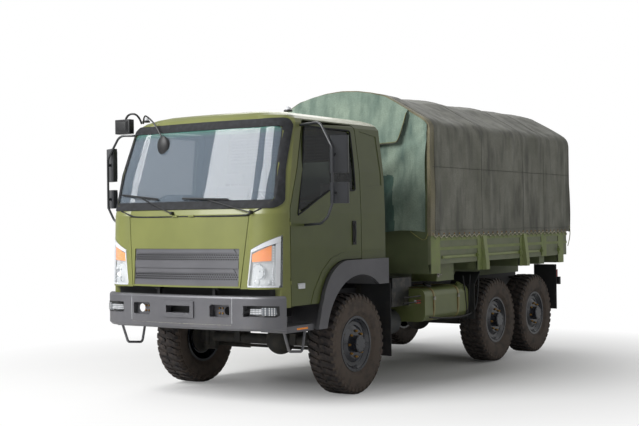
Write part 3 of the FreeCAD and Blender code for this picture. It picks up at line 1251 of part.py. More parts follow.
def cab_floor():
    """Stepped floor with the firewall in front and a tunnel over the engine."""
    thick = S.floor_thickness
    rear = FRONT - S.cab_rear_back + S.wall
    half = S.cab_half_width - S.wall
    fire = FRONT + S.firewall_x
    riser = FRONT + S.riser_x
    profile = [
        (rear, S.raised_floor_z),
        (riser, S.raised_floor_z),
        (riser, FOOT_FLOOR),
        (fire + S.firewall_thickness, FOOT_FLOOR),
        (fire + S.firewall_thickness, S.cowl_shelf_bottom),
        (fire + S.shelf_reach, S.cowl_shelf_bottom),
        (fire + S.shelf_reach, S.firewall_top),
        (fire, S.firewall_top),
        (fire, FOOT_FLOOR + thick),
        (riser + thick, FOOT_FLOOR + thick),
        (riser + thick, S.raised_floor_z + thick),
        (rear, S.raised_floor_z + thick),
    ]
    sheet_floor = slab("floor_sheet", "XZ", profile, -half, half)
    trimmed = common("floor_in_cab", sheet_floor, doc.getObject("cab_inner"))
    hump = block("hump_outer", (rear, -S.tunnel_half_width - S.tunnel_wall, FOOT_FLOOR),
                 (fire, S.tunnel_half_width + S.tunnel_wall, S.tunnel_top + S.tunnel_wall))
    hollow = block("hump_inner", (rear - 10, -S.tunnel_half_width, FOOT_FLOOR - 60),
                   (fire, S.tunnel_half_width, S.tunnel_top))
    shell = cut("floor_shell", fuse("floor_solid", trimmed, hump), hollow)
    lugs = []
    lug_x = FRONT + S.pivot_x
    for side, sign, turn in SIDES:
        start = S.pivot_lug_y + S.pivot_lug_width + 5
        low_y = start if sign > 0 else -start - S.pivot_lug_width
        lugs.append(block(f"cab_lug_{side}", (fire + S.firewall_thickness - 5, low_y, S.pivot_z - S.pivot_lug_radius),
                          (lug_x, low_y + S.pivot_lug_width, S.pivot_z + S.pivot_lug_radius)))
        lugs.append(rod(f"cab_lug_head_{side}", (lug_x, low_y, S.pivot_z), "Y", S.pivot_lug_radius, S.pivot_lug_width))
        pin_low = S.pivot_lug_y if sign > 0 else -start - 5
        lugs.append(rod(f"cab_pin_{side}", (lug_x, pin_low, S.pivot_z), "Y", S.pivot_pin_radius,
                        S.pivot_lug_width + 10))
    node("cab_floor", fuse("cab_floor_shape", shell, *lugs))


def interior():
    """Two seats on the raised floor, and the dashboard with its steering column and wheel."""
    floor = S.raised_floor_z + S.floor_thickness + S.fit_gap
    rear, front = FRONT + S.seat_rear, FRONT + S.seat_front
    thick = S.seat_back_thickness
    outline = [
        (rear + 40, floor),
        (front - 30, floor),
        (front, floor + S.seat_height),
        (rear + thick + 60, floor + S.seat_height),
        (rear + thick, floor + S.seat_back_top),
        (rear, floor + S.seat_back_top),
    ]
    seats = []
    for side, sign, turn in SIDES:
        middle = S.seat_centre_y * sign
        seats.append(slab(f"seat_{side}", "XZ", outline, middle - S.seat_half_width,
                          middle + S.seat_half_width))
    node("seats", group("seats", *seats))
    fire = FRONT + S.firewall_x
    dash = [
        (fire, S.dash_bottom + 30),
        (fire, S.dash_top - 40),
        (fire - 60, S.dash_top),
        (fire - S.dash_front_drop, S.dash_top - 50),
        (fire - S.dash_front_drop - 20, S.dash_top - 190),
        (fire - 190, S.dash_bottom),
    ]
    panel = common("dash_in_cab", slab("dash_panel", "XZ", dash, -S.dash_half_width, S.dash_half_width),
                   doc.getObject("cab_inner"))
    ring = doc.addObject("Part::Torus", "steering_ring")
    bind(ring, "Radius1", S.steering_wheel_radius)
    bind(ring, "Radius2", S.steering_tube_radius)
    place(ring, FRONT + S.steering_wheel_x, S.steering_y, S.steering_wheel_z, Rotation(Vector(0, 1, 0), -35))
    column = doc.addObject("Part::Cylinder", "steering_column")
    bind(column, "Radius", S.column_radius)
    bind(column, "Height", S.column_length)
    place(column, FRONT + S.steering_wheel_x, S.steering_y, S.steering_wheel_z,
          Rotation(Vector(0, 1, 0), 145))
    spokes = []
    for number, turn in enumerate((0, 90)):
        spoke = doc.addObject("Part::Cylinder", f"spoke_{number}")
        bind(spoke, "Radius", S.steering_tube_radius * 0.7)
        bind(spoke, "Height", S.steering_wheel_radius * 2)
        tilt = Rotation(Vector(0, 1, 0), -35).multiply(Rotation(Vector(0, 0, 1), turn))
        tilt = tilt.multiply(Rotation(Vector(1, 0, 0), -90))
        spoke.Placement = Placement(Vector(0, 0, 0), tilt)
        offset = tilt.multVec(Vector(0, 0, -1))
        bind(spoke, "Placement.Base.x", FRONT + S.steering_wheel_x + S.steering_wheel_radius * offset.x)
        bind(spoke, "Placement.Base.y", S.steering_y + S.steering_wheel_radius * offset.y)
        bind(spoke, "Placement.Base.z", S.steering_wheel_z + S.steering_wheel_radius * offset.z)
        spokes.append(spoke)
    node("dashboard", fuse("dashboard_solid", panel, ring, column, *spokes))


# ---------------------------------------------------------------- bed and cover
def bed_ends():
    """Front and rear faces of the bed along the truck."""
    return FRONT - S.bed_front_back, REAR - S.bed_rear_back


POST_STATIONS = [
    # distance of each side post's front edge behind the front axle, width
    (1640, 230), (2880, 220), (4180, 180), (4910, 180), (5520, 200),
]


def bed():
    """Floor on bearers and sills, drop sides with posts, headboard and tailgate."""
    front, rear = bed_ends()
    half = S.bed_half_width - S.board_thickness
    floor_top = BED_BOTTOM + S.floor_plate
    pieces = [block("floor_plate", (rear, -half, BED_BOTTOM), (front, half, floor_top))]
    bearer_bottom = BED_BOTTOM - S.bearer_height
    for number, (station, width) in enumerate(POST_STATIONS):
        x = FRONT - station
        pieces.append(block(f"bearer_{number}", (x - width, -half, bearer_bottom), (x, half, BED_BOTTOM)))
    for side, sign, turn in SIDES:
        low_y, high_y = side_span(sign, S.rail_outer_y - S.rail_flange, S.rail_outer_y)
        pieces.append(block(f"sill_{side}", (rear, low_y, RAIL_TOP), (front, high_y, bearer_bottom)))
    barrels, knuckles, bores = gate_hinges(rear, floor_top)
    node("bed_floor", fuse("bed_floor_solid", *pieces, *barrels))
    side_boards(half, bearer_bottom)
    board = block("headboard_plate", (front - S.headboard_thickness, -half, floor_top), (front, half, S.board_top))
    uprights = []
    for side, sign, turn in SIDES:
        low_y, high_y = side_span(sign, half - S.upright_width, half)
        uprights.append(block(f"upright_{side}", (front - S.headboard_thickness, low_y, floor_top),
                              (front, high_y, S.cover_shoulder_z)))
    node("headboard", fuse("headboard_solid", board, *uprights))
    gate = block("tailgate_board", (rear, -(half - S.gate_gap), floor_top + S.gate_gap),
                 (rear + S.gate_thickness, half - S.gate_gap, S.board_top))
    node("tailgate", cut("tailgate_shape", fuse("tailgate_solid", gate, *knuckles), *bores))


def gate_hinges(rear, floor_top):
    """Barrels on the floor, knuckles on the tailgate and the bores through them, at three places."""
    pin_x, pin_z = rear - S.gate_pin_back, floor_top - S.gate_pin_drop
    pin = S.pin_radius + S.gate_pin_extra
    leaf_top = floor_top + S.gate_leaf
    barrels, knuckles, bores = [], [], []
    for number, y in enumerate((-S.gate_hinge_y, ZERO, S.gate_hinge_y)):
        low, high = y + S.gate_end_gap, y + S.gate_end_gap + S.gate_knuckle
        barrels += [
            rod(f"gate_barrel_{number}", (pin_x, y - S.gate_knuckle, pin_z), "Y", S.gate_barrel,
                S.gate_knuckle - S.gate_end_gap),
            block(f"gate_strap_{number}", (pin_x, y - S.gate_knuckle, pin_z - S.gate_barrel),
                  (rear, y - S.gate_end_gap, pin_z)),
            rod(f"gate_pin_{number}", (pin_x, y - S.gate_knuckle, pin_z), "Y", pin, S.gate_knuckle * 2),
        ]
        knuckles += [
            rod(f"gate_knuckle_{number}", (pin_x, low, pin_z), "Y", S.gate_barrel, S.gate_knuckle),
            block(f"gate_leaf_{number}", (pin_x - S.gate_barrel, low, pin_z), (pin_x + S.gate_barrel, high, leaf_top)),
            block(f"gate_foot_{number}", (pin_x, low, floor_top + S.gate_gap), (rear, high, leaf_top)),
        ]
        bores.append(rod(f"gate_bore_{number}", (pin_x, y, pin_z), "Y", pin + S.fit_gap, S.gate_knuckle * 1.2))
    return barrels, knuckles, bores


def side_boards(inner, bearer_bottom):
    """Drop sides: a board with two pressed beads, hinge tubes, and posts and gussets outside it."""
    front, rear = bed_ends()
    outer = S.bed_half_width
    pieces = [block("side_board", (rear, inner, BED_BOTTOM), (front, outer, S.board_top))]
    for number, z in enumerate((S.bead_low_z, S.bead_high_z)):
        pieces.append(block(f"board_bead_{number}", (rear, outer - S.post_proud, z),
                            (front, outer + S.post_proud, z + S.bead_width)))
    edges = []
    for number, (station, width) in enumerate(POST_STATIONS):
        x = FRONT - station
        edges.append((x, x - width))
        bottom = BED_BOTTOM if number == 3 else bearer_bottom
        pieces.append(block(f"post_{number}", (x - width, outer, bottom), (x, outer + S.post_proud, S.board_top)))
        if number in (1, 2):
            wedge = [
                (outer, bearer_bottom),
                (outer + S.gusset_foot, bearer_bottom),
                (outer + S.gusset_foot, bearer_bottom + S.gusset_toe),
                (outer + S.gusset_head, S.cover_hem - S.shut_gap),
                (outer, S.cover_hem - S.shut_gap),
            ]
            pieces.append(slab(f"gusset_{number}", "YZ", wedge, x - width, x - width + S.gusset_width))
    for number, (ahead, behind) in enumerate(zip(edges, edges[1:3] + [edges[3]])):
        start = behind[0] + S.hinge_tube_end
        pieces.append(rod(f"hinge_tube_{number}", (start, outer + S.hinge_tube / 2, S.hinge_tube_z), "X",
                          S.hinge_tube, ahead[1] - S.hinge_tube_end - start))
        if number == 2:
            break
    node("side_boards", pair("side_boards", fuse("side_board_solid", *pieces)))


def cover_line(inset, hem, clockwise):
    """Half section of the cover, taken in by an inset, from the hem up to the crown and down."""
    side = COVER_HALF - inset
    shoulder_y = COVER_HALF - S.cover_shoulder_inset - inset * 0.55
    shoulder_z = S.cover_shoulder_top - inset * 0.85
    crown_y = S.cover_crown_y - inset * 0.3
    crown_z = S.cover_crown_z - inset * 0.95
    shoulder = S.shoulder_radius - inset
    rise = S.bed_top - S.cover_crown_z
    crown = curve_radius(S.cover_crown_y, rise) - inset
    left = [
        (side, hem),
        (side, S.cover_shoulder_z, shoulder),
        (shoulder_y, shoulder_z),
        (crown_y, crown_z, crown),
        (-crown_y, crown_z),
        (-shoulder_y, shoulder_z, shoulder),
        (-side, S.cover_shoulder_z),
        (-side, hem),
    ]
    if not clockwise:
        return left
    right = []
    corners = left[::-1]
    for index, point in enumerate(corners):
        before = left[len(left) - 2 - index] if index < len(left) - 1 else ()
        if len(before) == 3:
            right.append((point[0], point[1], -before[2]))
        else:
            right.append(point[:2])
    return right


def cover():
    """Canvas cover as an inverted U, its bows and slats, and its two curtains."""
    front, rear = bed_ends()
    head = front + S.cover_front_lip
    tail = rear - S.cover_overhang
    skin = cover_line(ZERO, S.cover_hem, False) + cover_line(S.cover_thickness, S.cover_hem, True)
    node("cover", slab("cover_skin", "YZ", skin, tail, head))
    gap = S.cover_thickness + S.bow_gap
    band = cover_line(gap, S.board_top, False) + cover_line(gap + S.bow_tube, S.board_top, True)
    bows = []
    for number, (station, width) in enumerate(POST_STATIONS):
        x = FRONT - station - width / 2
        bows.append(slab(f"bow_{number}", "YZ", band, x - S.bow_tube / 2, x + S.bow_tube / 2))
    first = FRONT - POST_STATIONS[0][0] - POST_STATIONS[0][1] / 2
    last = FRONT - POST_STATIONS[-1][0] - POST_STATIONS[-1][1] / 2
    ridge_top = S.bed_top - gap - S.slat_inset / 2
    slats = [block("ridge_slat", (last, -S.bow_slat / 2, ridge_top - S.bow_tube + S.slat_inset),
                   (first, S.bow_slat / 2, ridge_top - S.slat_inset / 2))]
    for side, sign, turn in SIDES:
        low_y, high_y = side_span(sign, COVER_HALF - gap - S.bow_tube, COVER_HALF - gap - S.slat_inset)
        slats.append(block(f"side_slat_{side}", (last, low_y, S.slat_bottom), (first, high_y, S.slat_bottom + S.bow_slat)))
    node("cover_bows", fuse("cover_bows_solid", *bows, *slats))
    sheet_line = cover_line(S.cover_thickness + 3, S.curtain_hem, False)
    curtain = slab("front_curtain", "YZ", sheet_line, front + S.fit_gap, front + S.fit_gap + S.curtain_thickness)
    crown = curve_radius(S.cover_crown_y, S.bed_top - S.cover_crown_z)
    bow_radius = crown - gap - S.bow_tube
    roll_half = S.curtain_roll_half
    bow_under = S.bed_top - crown + root(bow_radius * bow_radius - roll_half * roll_half)
    roll = rod("rear_roll", (last, -roll_half, bow_under - S.curtain_roll - S.fit_gap), "Y",
               S.curtain_roll, roll_half * 2)
    node("curtains", group("curtains", curtain, roll))


# ---------------------------------------------------------------- what hangs on the frame
def fuel_tank():
    """Tank with round corners on two brackets from the left rail, and an angled filler neck."""
    front = FRONT + S.tank_front
    low, high = S.tank_bottom, S.tank_top
    inner, outer = S.tank_inner_y, S.tank_outer_y
    section = [(inner, low), (outer, low), (outer, high), (inner, high)]
    tank = rounded(slab("tank_body", "YZ", section, front - S.tank_length, front), S.tank_corner)
    brackets = []
    for number, inset in enumerate((S.strap_inset, S.tank_length - S.strap_inset - S.strap_width)):
        x = front - inset
        brackets.append(block(f"tank_bracket_{number}", (x - S.strap_width, S.rail_outer_y, low + S.tank_corner),
                              (x, inner + S.tank_corner / 2, high - S.tank_corner)))
    neck = doc.addObject("Part::Cylinder", "filler_neck")
    bind(neck, "Radius", S.neck_radius)
    bind(neck, "Height", S.neck_length)
    place(neck, front - S.tank_length + S.neck_ahead, outer - S.tank_corner, high - S.tank_corner,
          Rotation(Vector(1, 0, 0), -35))
    node("fuel_tank", fuse("fuel_tank_solid", tank, *brackets, neck))


def side_boxes():
    """Toolbox under the bed, and the battery box with its lid on the rail."""
    toolbox = block("toolbox", (FRONT + S.toolbox_front - S.toolbox_length, S.toolbox_inner, S.toolbox_bottom),
                    (FRONT + S.toolbox_front, S.toolbox_outer, BED_BOTTOM))
    front = FRONT + S.battery_front
    rear = front - S.battery_length
    inset = S.battery_lid_lap
    case = block("battery_case", (rear + inset, S.rail_outer_y, S.battery_bottom),
                 (front - inset, S.battery_outer - inset, S.battery_lid_bottom))
    lid = block("battery_lid", (rear, S.rail_outer_y, S.battery_lid_bottom),
                (front, S.battery_outer, S.battery_bottom + S.battery_height))
    node("side_boxes", group("side_boxes", toolbox, fuse("battery_box", case, lid)))


def air_tanks():
    """An air reservoir with domed ends under the left rail, on a hanger."""
    front = FRONT + S.reservoir_front
    half = S.reservoir_length / 2 - S.reservoir_dome
    radius = S.reservoir_radius
    dome = curve_radius(radius, S.reservoir_dome)
    profile = [
        (-half - S.reservoir_dome, ZERO),
        (half + S.reservoir_dome, ZERO, dome),
        (half, radius),
        (-half, radius, dome),
    ]
    drum = turned("reservoir", profile)
    place(drum, front - S.reservoir_length / 2, S.reservoir_y, S.reservoir_z, Rotation(Vector(0, 0, 1), 90))
    hanger_x = front - S.reservoir_length / 2 - S.hanger_width / 2
    hanger = block("reservoir_hanger", (hanger_x, S.rail_outer_y - S.hanger_width * 0.75, S.reservoir_z + radius / 4),
                   (hanger_x + S.hanger_width, S.reservoir_y, S.rail_bottom))
    node("air_tanks", fuse("air_tank", drum, hanger))


def exhaust():
    """Silencer under the right rail with its tail pipe."""
    front = FRONT + S.muffler_front
    rear = front - S.muffler_length
    y = -S.muffler_y
    drum = rod("silencer", (rear, y, S.muffler_z), "X", S.muffler_radius, S.muffler_length)
    pipe = rod("tail_pipe", (rear - S.pipe_length, y, S.muffler_z), "X", S.pipe_radius, S.pipe_length + S.pipe_lap)
    hanger_x = rear + S.muffler_length / 2
    hanger = block("silencer_hanger", (hanger_x, y, S.muffler_z + S.hanger_width * 0.75),
                   (hanger_x + S.hanger_width, S.hanger_width * 0.75 - S.rail_outer_y, S.rail_bottom))
    node("exhaust", fuse("exhaust_solid", drum, pipe, hanger))


def mudguards():
    """Flaps behind the front wheels, sloped guards before the bogie and flaps behind it."""
    plate = S.flap_plate
    inner, outer = S.flap_inner, S.flap_outer
    rear_inner = inner + S.rear_flap_inset
    stay = S.stay_radius
    reach = inner + S.stay_lap - S.rail_outer_y
    x = FRONT - S.front_flap_x
    front = fuse("front_mudflap",
                 block("front_flap_plate", (x - plate, inner, S.front_flap_bottom), (x, outer, S.front_flap_top)),
                 rod("front_flap_stay", (x - plate / 2 - stay, S.rail_outer_y, S.flap_stay_z), "Y", stay, reach))
    x = MIDDLE
    outline = [
        (x + S.guard_front_x, S.guard_bottom),
        (x + S.guard_front_x + plate, S.guard_bottom),
        (x + S.guard_front_x + plate, S.guard_knee_z),
        (x + S.guard_top_x + plate, S.guard_top),
        (x + S.guard_top_x, S.guard_top),
        (x + S.guard_front_x, S.guard_knee_z),
    ]
    middle = fuse("bogie_guard",
                  slab("guard_plate", "XZ", outline, rear_inner, outer),
                  rod("guard_stay", (x + S.guard_front_x - stay, S.rail_outer_y, S.guard_knee_z - S.stay_lap),
                      "Y", stay, reach + S.rear_flap_inset))
    x = REAR - S.rear_flap_x
    rear = fuse("rear_mudflap",
                block("rear_flap_plate", (x - plate, rear_inner, S.rear_flap_bottom), (x, outer, S.rear_flap_top)),
                rod("rear_flap_stay", (x - plate / 2 - stay, S.rail_outer_y, S.flap_stay_z), "Y", stay,
                    reach + S.rear_flap_inset))
    solids = []
    for label, piece in (("front", front), ("middle", middle), ("rear", rear)):
        solids += [piece, mirrored(f"{label}_guard_right", piece)]
    node("mudguards", group("mudguards", *solids))


def tail_lamps():
    """A lamp body near each end of the rear bar."""
    x = REAR - S.rail_rear_reach - S.rear_bar_depth
    lamp = block("tail_lamp", (x - S.lamp_depth, S.lamp_outer_end - S.lamp_width, S.lamp_base),
                 (x, S.lamp_outer_end, S.lamp_base + S.lamp_height))
    node("tail_lamps", pair("tail_lamps", lamp))


def spare_wheel():
    """Spare wheel upright behind the cab, on a post carrier that stands on the rails."""
    half = S.tyre_width / 2
    x = FRONT - S.spare_x
    bead = S.rim_width / 2
    web = S.disc_face - S.spare_web_inset
    outer = [
        (half, S.sidewall_radius),
        (half, S.sidewall_radius + S.flank_height),
        (S.tread_half_width + S.shoulder_inset, S.tyre_radius - S.shoulder_drop),
        (S.tread_half_width, S.tyre_radius),
    ]
    profile = [
        (-half, S.sidewall_radius),
        (-bead, S.bead_radius),
        (web, S.bead_radius),
        (web, S.spare_hole),
        (web + S.spare_web, S.spare_hole),
        (web + S.spare_web, S.bead_radius - S.spare_web),
        (bead, S.bead_radius),
    ] + outer + [(-out, radius) for out, radius in reversed(outer[1:])]
    spare = turned("spare_turned", profile)
    place(spare, x, S.spare_y, S.spare_z, Rotation(Vector(0, 0, 1), 90))
    node("spare_wheel", spare)
    post = S.carrier_post
    back = x - half - S.carrier_gap
    plate_low, plate_high = -S.carrier_plate, S.carrier_plate
    boss_end = x - web
    pieces = [
        block("carrier_foot", (back - post, -S.rail_outer_y, RAIL_TOP), (back, S.rail_outer_y, RAIL_TOP + post)),
        block("carrier_plate", (back - post, S.spare_y + plate_low, S.spare_z + plate_low),
              (back, S.spare_y + plate_high, S.spare_z + plate_high)),
        rod("carrier_boss", (back - S.stub_clearance, S.spare_y, S.spare_z), "X", S.spare_hole - S.fit_gap,
            boss_end - back + S.stub_clearance),
    ]
    for number, y in enumerate((-S.carrier_half, S.carrier_half - post)):
        pieces.append(block(f"carrier_post_{number}", (back - post, S.spare_y + y, RAIL_TOP),
                            (back, S.spare_y + y + post, S.spare_z + S.carrier_plate)))
    node("spare_carrier", fuse("spare_carrier_solid", *pieces))


wheels()
front_axle()
for side, sign, turn in SIDES:
    knuckle(side, sign)
tie_rod()
rear_axles()
frame()
springs()
power_unit()
drive_shafts()
bumper()
entry_steps()
cab()
wheel_arches()
cab_floor()
interior()
bed()
cover()
fuel_tank()
side_boxes()
air_tanks()
exhaust()
mudguards()
tail_lamps()
spare_wheel()
doc.recompute()

# ---------------------------------------------------------------- check and write
faults = [f"{thing.Name}: {state}" for thing in doc.Objects for state in thing.State
          if state in ("Invalid", "Error")]
for name, thing in NODES.items():
    if thing.Shape.isNull() or not thing.Shape.isValid() or not thing.Shape.Solids:
        faults.append(f"{name}: no valid solid")
if faults:
    raise SystemExit("\n".join(faults))
os.makedirs("parts", exist_ok=True)
for name, thing in NODES.items():
    thing.Shape.exportStep(os.path.join("parts", f"{name}.step"))
print(len(NODES), "sub-parts written")
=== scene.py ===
"""Six-wheel army cargo truck: finishes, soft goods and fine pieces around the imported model.

Metres. +X forward, +Y to the truck's left, +Z up, as in the frame.
"""
import math

import bpy
from mathutils import Matrix, Vector, noise


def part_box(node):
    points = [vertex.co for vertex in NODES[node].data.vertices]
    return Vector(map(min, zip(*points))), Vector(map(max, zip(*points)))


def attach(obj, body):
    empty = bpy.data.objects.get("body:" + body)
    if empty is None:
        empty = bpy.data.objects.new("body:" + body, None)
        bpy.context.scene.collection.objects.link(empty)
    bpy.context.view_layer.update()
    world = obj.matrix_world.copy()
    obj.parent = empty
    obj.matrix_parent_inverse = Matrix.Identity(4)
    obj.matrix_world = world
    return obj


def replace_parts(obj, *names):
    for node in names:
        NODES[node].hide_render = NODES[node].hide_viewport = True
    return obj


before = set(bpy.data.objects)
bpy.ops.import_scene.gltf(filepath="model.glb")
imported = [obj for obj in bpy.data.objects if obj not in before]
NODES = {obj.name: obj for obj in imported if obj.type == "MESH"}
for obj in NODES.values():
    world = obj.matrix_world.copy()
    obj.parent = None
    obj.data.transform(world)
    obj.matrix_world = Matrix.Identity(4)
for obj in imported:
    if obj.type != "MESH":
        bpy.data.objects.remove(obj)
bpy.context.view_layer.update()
FRONT = 2.21
AXLES = {"front": FRONT, "middle": -1.265, "rear": -2.515}
AXLE_HEIGHT = 0.545
# from the truck's middle to the middle of a tyre
HALF_TRACK = 1.055
WHEEL_CENTRE = (FRONT, HALF_TRACK, AXLE_HEIGHT)
SIDES = {"left": 1, "right": -1}
FORWARD, SIDEWAYS, UPRIGHT = (1, 0, 0), (0, 1, 0), (0, 0, 1)
# a face looks along an axis when its normal has more than this share of it
SQUARE_ON = 0.9
# where lines that look for a skin start, and where outlines are drawn: ahead of the truck and beside it
AHEAD, BESIDE = 4.2, 1.6
DRAWN_AHEAD = 4.0


# ---------------------------------------------------------------- camera
def camera():
    """A long lens at the height of a standing person, off the truck's left front corner."""
    place = (13.030, 7.985, 1.856)
    yaw, pitch, roll = (math.radians(angle) for angle in (213.77, 0.455, -0.737))
    forward = Vector((math.cos(yaw) * math.cos(pitch), math.sin(yaw) * math.cos(pitch), math.sin(pitch)))
    level = Vector((math.sin(yaw), -math.cos(yaw), 0))
    upright = level.cross(forward)
    right = level * math.cos(roll) + upright * math.sin(roll)
    up = right.cross(forward)
    turn = Matrix((right, up, -forward)).transposed().to_4x4()
    bpy.ops.object.camera_add()
    eye = bpy.context.object
    eye.name = "camera"
    eye.matrix_world = Matrix.Translation(place) @ turn
    eye.data.sensor_width = 36
    eye.data.lens = 66.76
    eye.data.shift_x = -0.003
    eye.data.clip_end = 200
    bpy.context.scene.camera = eye


camera()


# ---------------------------------------------------------------- finishes
SPAN, MIX, MATHS, AXES = "ShaderNodeMapRange", "ShaderNodeMixRGB", "ShaderNodeMath", "ShaderNodeSeparateXYZ"


def colour(text):
    """An sRGB hex colour as linear red, green, blue and full alpha."""
    parts = [int(text[start:start + 2], 16) / 255 for start in (0, 2, 4)]
    return (*(part / 12.92 if part <= 0.04045 else ((part + 0.055) / 1.055) ** 2.4 for part in parts), 1)


def feed(tree, node, name, value):
    """Give a node's input a number, a hex colour, a socket or another node's first output."""
    if isinstance(value, bpy.types.Node):
        value = value.outputs[0]
    if isinstance(value, bpy.types.NodeSocket):
        tree.links.new(value, node.inputs[name])
    else:
        node.inputs[name].default_value = colour(value) if isinstance(value, str) else value


def add(tree, kind, *values, named=None, **settings):
    """Add a node with its settings and what feeds its inputs, in their order or by their names."""
    fresh = tree.nodes.new(kind)
    for name, value in settings.items():
        setattr(fresh, name, value)
    for name, value in [*enumerate(values), *(named or {}).items()]:
        feed(tree, fresh, name, value)
    return fresh


def finish(name, roughness, metallic=0.0, coat=0.0):
    """A new material: its tree, its shader and the object coordinates that its patterns read."""
    material = bpy.data.materials.new(name)
    material.use_nodes = True
    tree = material.node_tree
    shader = tree.nodes["Principled BSDF"]
    for socket, value in (("Roughness", roughness), ("Metallic", metallic), ("Coat Weight", coat)):
        feed(tree, shader, socket, value)
    return material, tree, shader, add(tree, "ShaderNodeTexCoord").outputs["Object"]


def cloud(tree, place, millimetres, detail=3.0, stretch=(1, 1, 1)):
    """Soft noise whose patches are about this many millimetres across."""
    mapped = add(tree, "ShaderNodeMapping", place, named={"Scale": stretch})
    return add(tree, "ShaderNodeTexNoise", mapped, named={"Scale": 1000 / millimetres, "Detail": detail})


def patches(tree, place, millimetres, low, high, start=0.0, end=1.0, detail=3.0, stretch=(1, 1, 1)):
    """Clouds of this size, their span from low to high mapped to start and end."""
    return add(tree, SPAN, cloud(tree, place, millimetres, detail, stretch), low, high, start, end)


def raise_surface(tree, shader, height, strength, millimetres):
    """Bump from a height pattern, as deep as the given millimetres."""
    bump = add(tree, "ShaderNodeBump", strength, millimetres / 1000, named={"Height": height})
    feed(tree, shader, "Normal", bump)


def enamel(name, base, faded, dust, roughness, dust_top=1.3, dust_share=0.5, metallic=0.0, coat=0.0):
    """Sprayed enamel: slow shifts in tone, road dust that thins out upwards, and a fine orange peel."""
    material, tree, shader, place = finish(name, roughness, metallic, coat)
    shift = patches(tree, place, 450, 0.35, 0.65)
    tone = add(tree, MIX, shift, base, faded)
    height = add(tree, AXES, place).outputs["Z"]
    low = add(tree, SPAN, height, 0.2, dust_top, 1, 0)
    grime = patches(tree, place, 90, 0.42, 0.75, detail=6)
    settled = add(tree, MATHS, low, grime, operation="MULTIPLY")
    amount = add(tree, MATHS, settled, dust_share, operation="MULTIPLY")
    feed(tree, shader, "Base Color", add(tree, MIX, amount, tone, dust))
    feed(tree, shader, "Roughness", add(tree, SPAN, amount, 0, 0.5, roughness, 0.85))
    raise_surface(tree, shader, cloud(tree, place, 6, 2), 0.12, 0.4)
    return material


# army enamel on pressed steel: a satin olive; this lit copy carries painted light, lighter and yellower on
# the front, roof and flap than the sides
LIT_CAB_ENAMEL = enamel("olive_cab_enamel_lit", "777b42", "70743e", "857d62", 0.4, 1.2, 0.2, coat=0.12)
# the same enamel on the doors, sides and back, with painted shade: a darker copy for the faces that stand out
# of the light, also glossier
SHADED_SIDE_ENAMEL = enamel("olive_side_enamel_painted_shade", "4f5729", "485025", "6b664e", 0.34, 1.0, 0.12, coat=0.15)
# the same paint, thinner and older on the bed
BED_ENAMEL = enamel("olive_bed_enamel", "6c7653", "626b4c", "8f8a72", 0.55, 1.9, 0.35)
# brighter touch-up green on the latches of the drop sides
POST_ENAMEL = enamel("bright_post_enamel", "7d8a4c", "6f7c48", "85806a", 0.5, 1.6, 0.25)
# the fuel tank in a deeper gloss green
TANK_ENAMEL = enamel("tank_enamel", "727b4b", "687144", "8f8768", 0.36, 1.2, 0.3, coat=0.2)
# gunmetal paint on plastic and steel trim: a fine metallic grey
GUNMETAL = enamel("gunmetal_trim_paint", "68686c", "606064", "807b70", 0.42, 1.1, 0.35, metallic=0.35)
# matt black chassis paint under a film of road dust, also used as painted shade behind and round the grille's
# holes
CHASSIS_BLACK = enamel("chassis_black_paint", "17181b", "1f2023", "5a5348", 0.6, 1.2, 0.45)
# black textured plastic of handles, wiper arms and the dashboard: broad soft highlights
BLACK_PLASTIC = enamel("black_textured_plastic", "131416", "191a1c", "3c3a36", 0.5, 0.9, 0.3)
# smooth charcoal plastic of the mirror heads and their tube
MIRROR_PLASTIC = enamel("charcoal_mirror_plastic", "222427", "2b2d31", "4a4843", 0.3, 0.9, 0.2, coat=0.3)
# gloss black rim paint, dusty in its corners
RIM_BLACK = enamel("gloss_black_rim_paint", "141822", "1d222d", "4e4740", 0.18, 1.2, 0.12, coat=0.6)
# cast iron of axle and gearbox cases: rough, with no clear highlight
CAST_IRON = enamel("rough_cast_iron", "2b2b2a", "353431", "5f5648", 0.75, 1.2, 0.5)
# dark grey paint on air reservoirs
TANK_GREY = enamel("reservoir_grey_paint", "3c3f42", "46494b", "6a6255", 0.45, 1.2, 0.5)
# white plastic of lamp rims and small marker lamps, also used as the painted highlight down the bumper's
# seams
WHITE_PLASTIC = enamel("white_lamp_plastic", "d8dade", "cfd1d5", "a8a498", 0.3, 1.2, 0.15)
# amber moulding behind the turn lamp's clear lens
AMBER_REFLECTOR = enamel("amber_reflector_moulding", "ff9408", "f58600", "b0602a", 0.25, 1.2, 0.1, coat=0.5)
# silvered plastic tray of the headlamp: a bright, slightly metallic white
SILVERED_TRAY = enamel("silvered_lamp_tray", "e2e4e6", "cfd2d5", "a8a59f", 0.25, 1.2, 0.1, metallic=0.25)
# painted steel band of the tank straps, scuffed to a pale olive
STRAP_STEEL = enamel("painted_strap_steel", "8a8a5c", "a39a6a", "8a7a5c", 0.45, 1.2, 0.3)
# red moulded plastic of the drain tag
RED_PLASTIC = enamel("red_moulded_tag", "b3221c", "9c1e19", "7d4a3c", 0.4, 1.2, 0.2)


def metal(name, bright, dull, roughness, millimetres, pitted=True):
    """Bare or plated metal: bright, with dull or tarnished clouds of this size."""
    material, tree, shader, place = finish(name, roughness, 1.0)
    tarnish = patches(tree, place, millimetres, 0.4, 0.6)
    feed(tree, shader, "Base Color", add(tree, MIX, tarnish, bright, dull))
    if pitted:
        raise_surface(tree, shader, cloud(tree, place, 2, 2), 0.1, 0.2)
    return material


def rubber(name, base, dusty, share, millimetres=50):
    """Vulcanised rubber: near black under dry brown dust, with a fine pebbled skin."""
    material, tree, shader, place = finish(name, 0.8)
    dust = patches(tree, place, millimetres, 0.5 - share / 2, 0.85 - share / 2, detail=5)
    feed(tree, shader, "Base Color", add(tree, MIX, dust, base, dusty))
    raise_surface(tree, shader, cloud(tree, place, 3, 2), 0.3, 0.6)
    return material


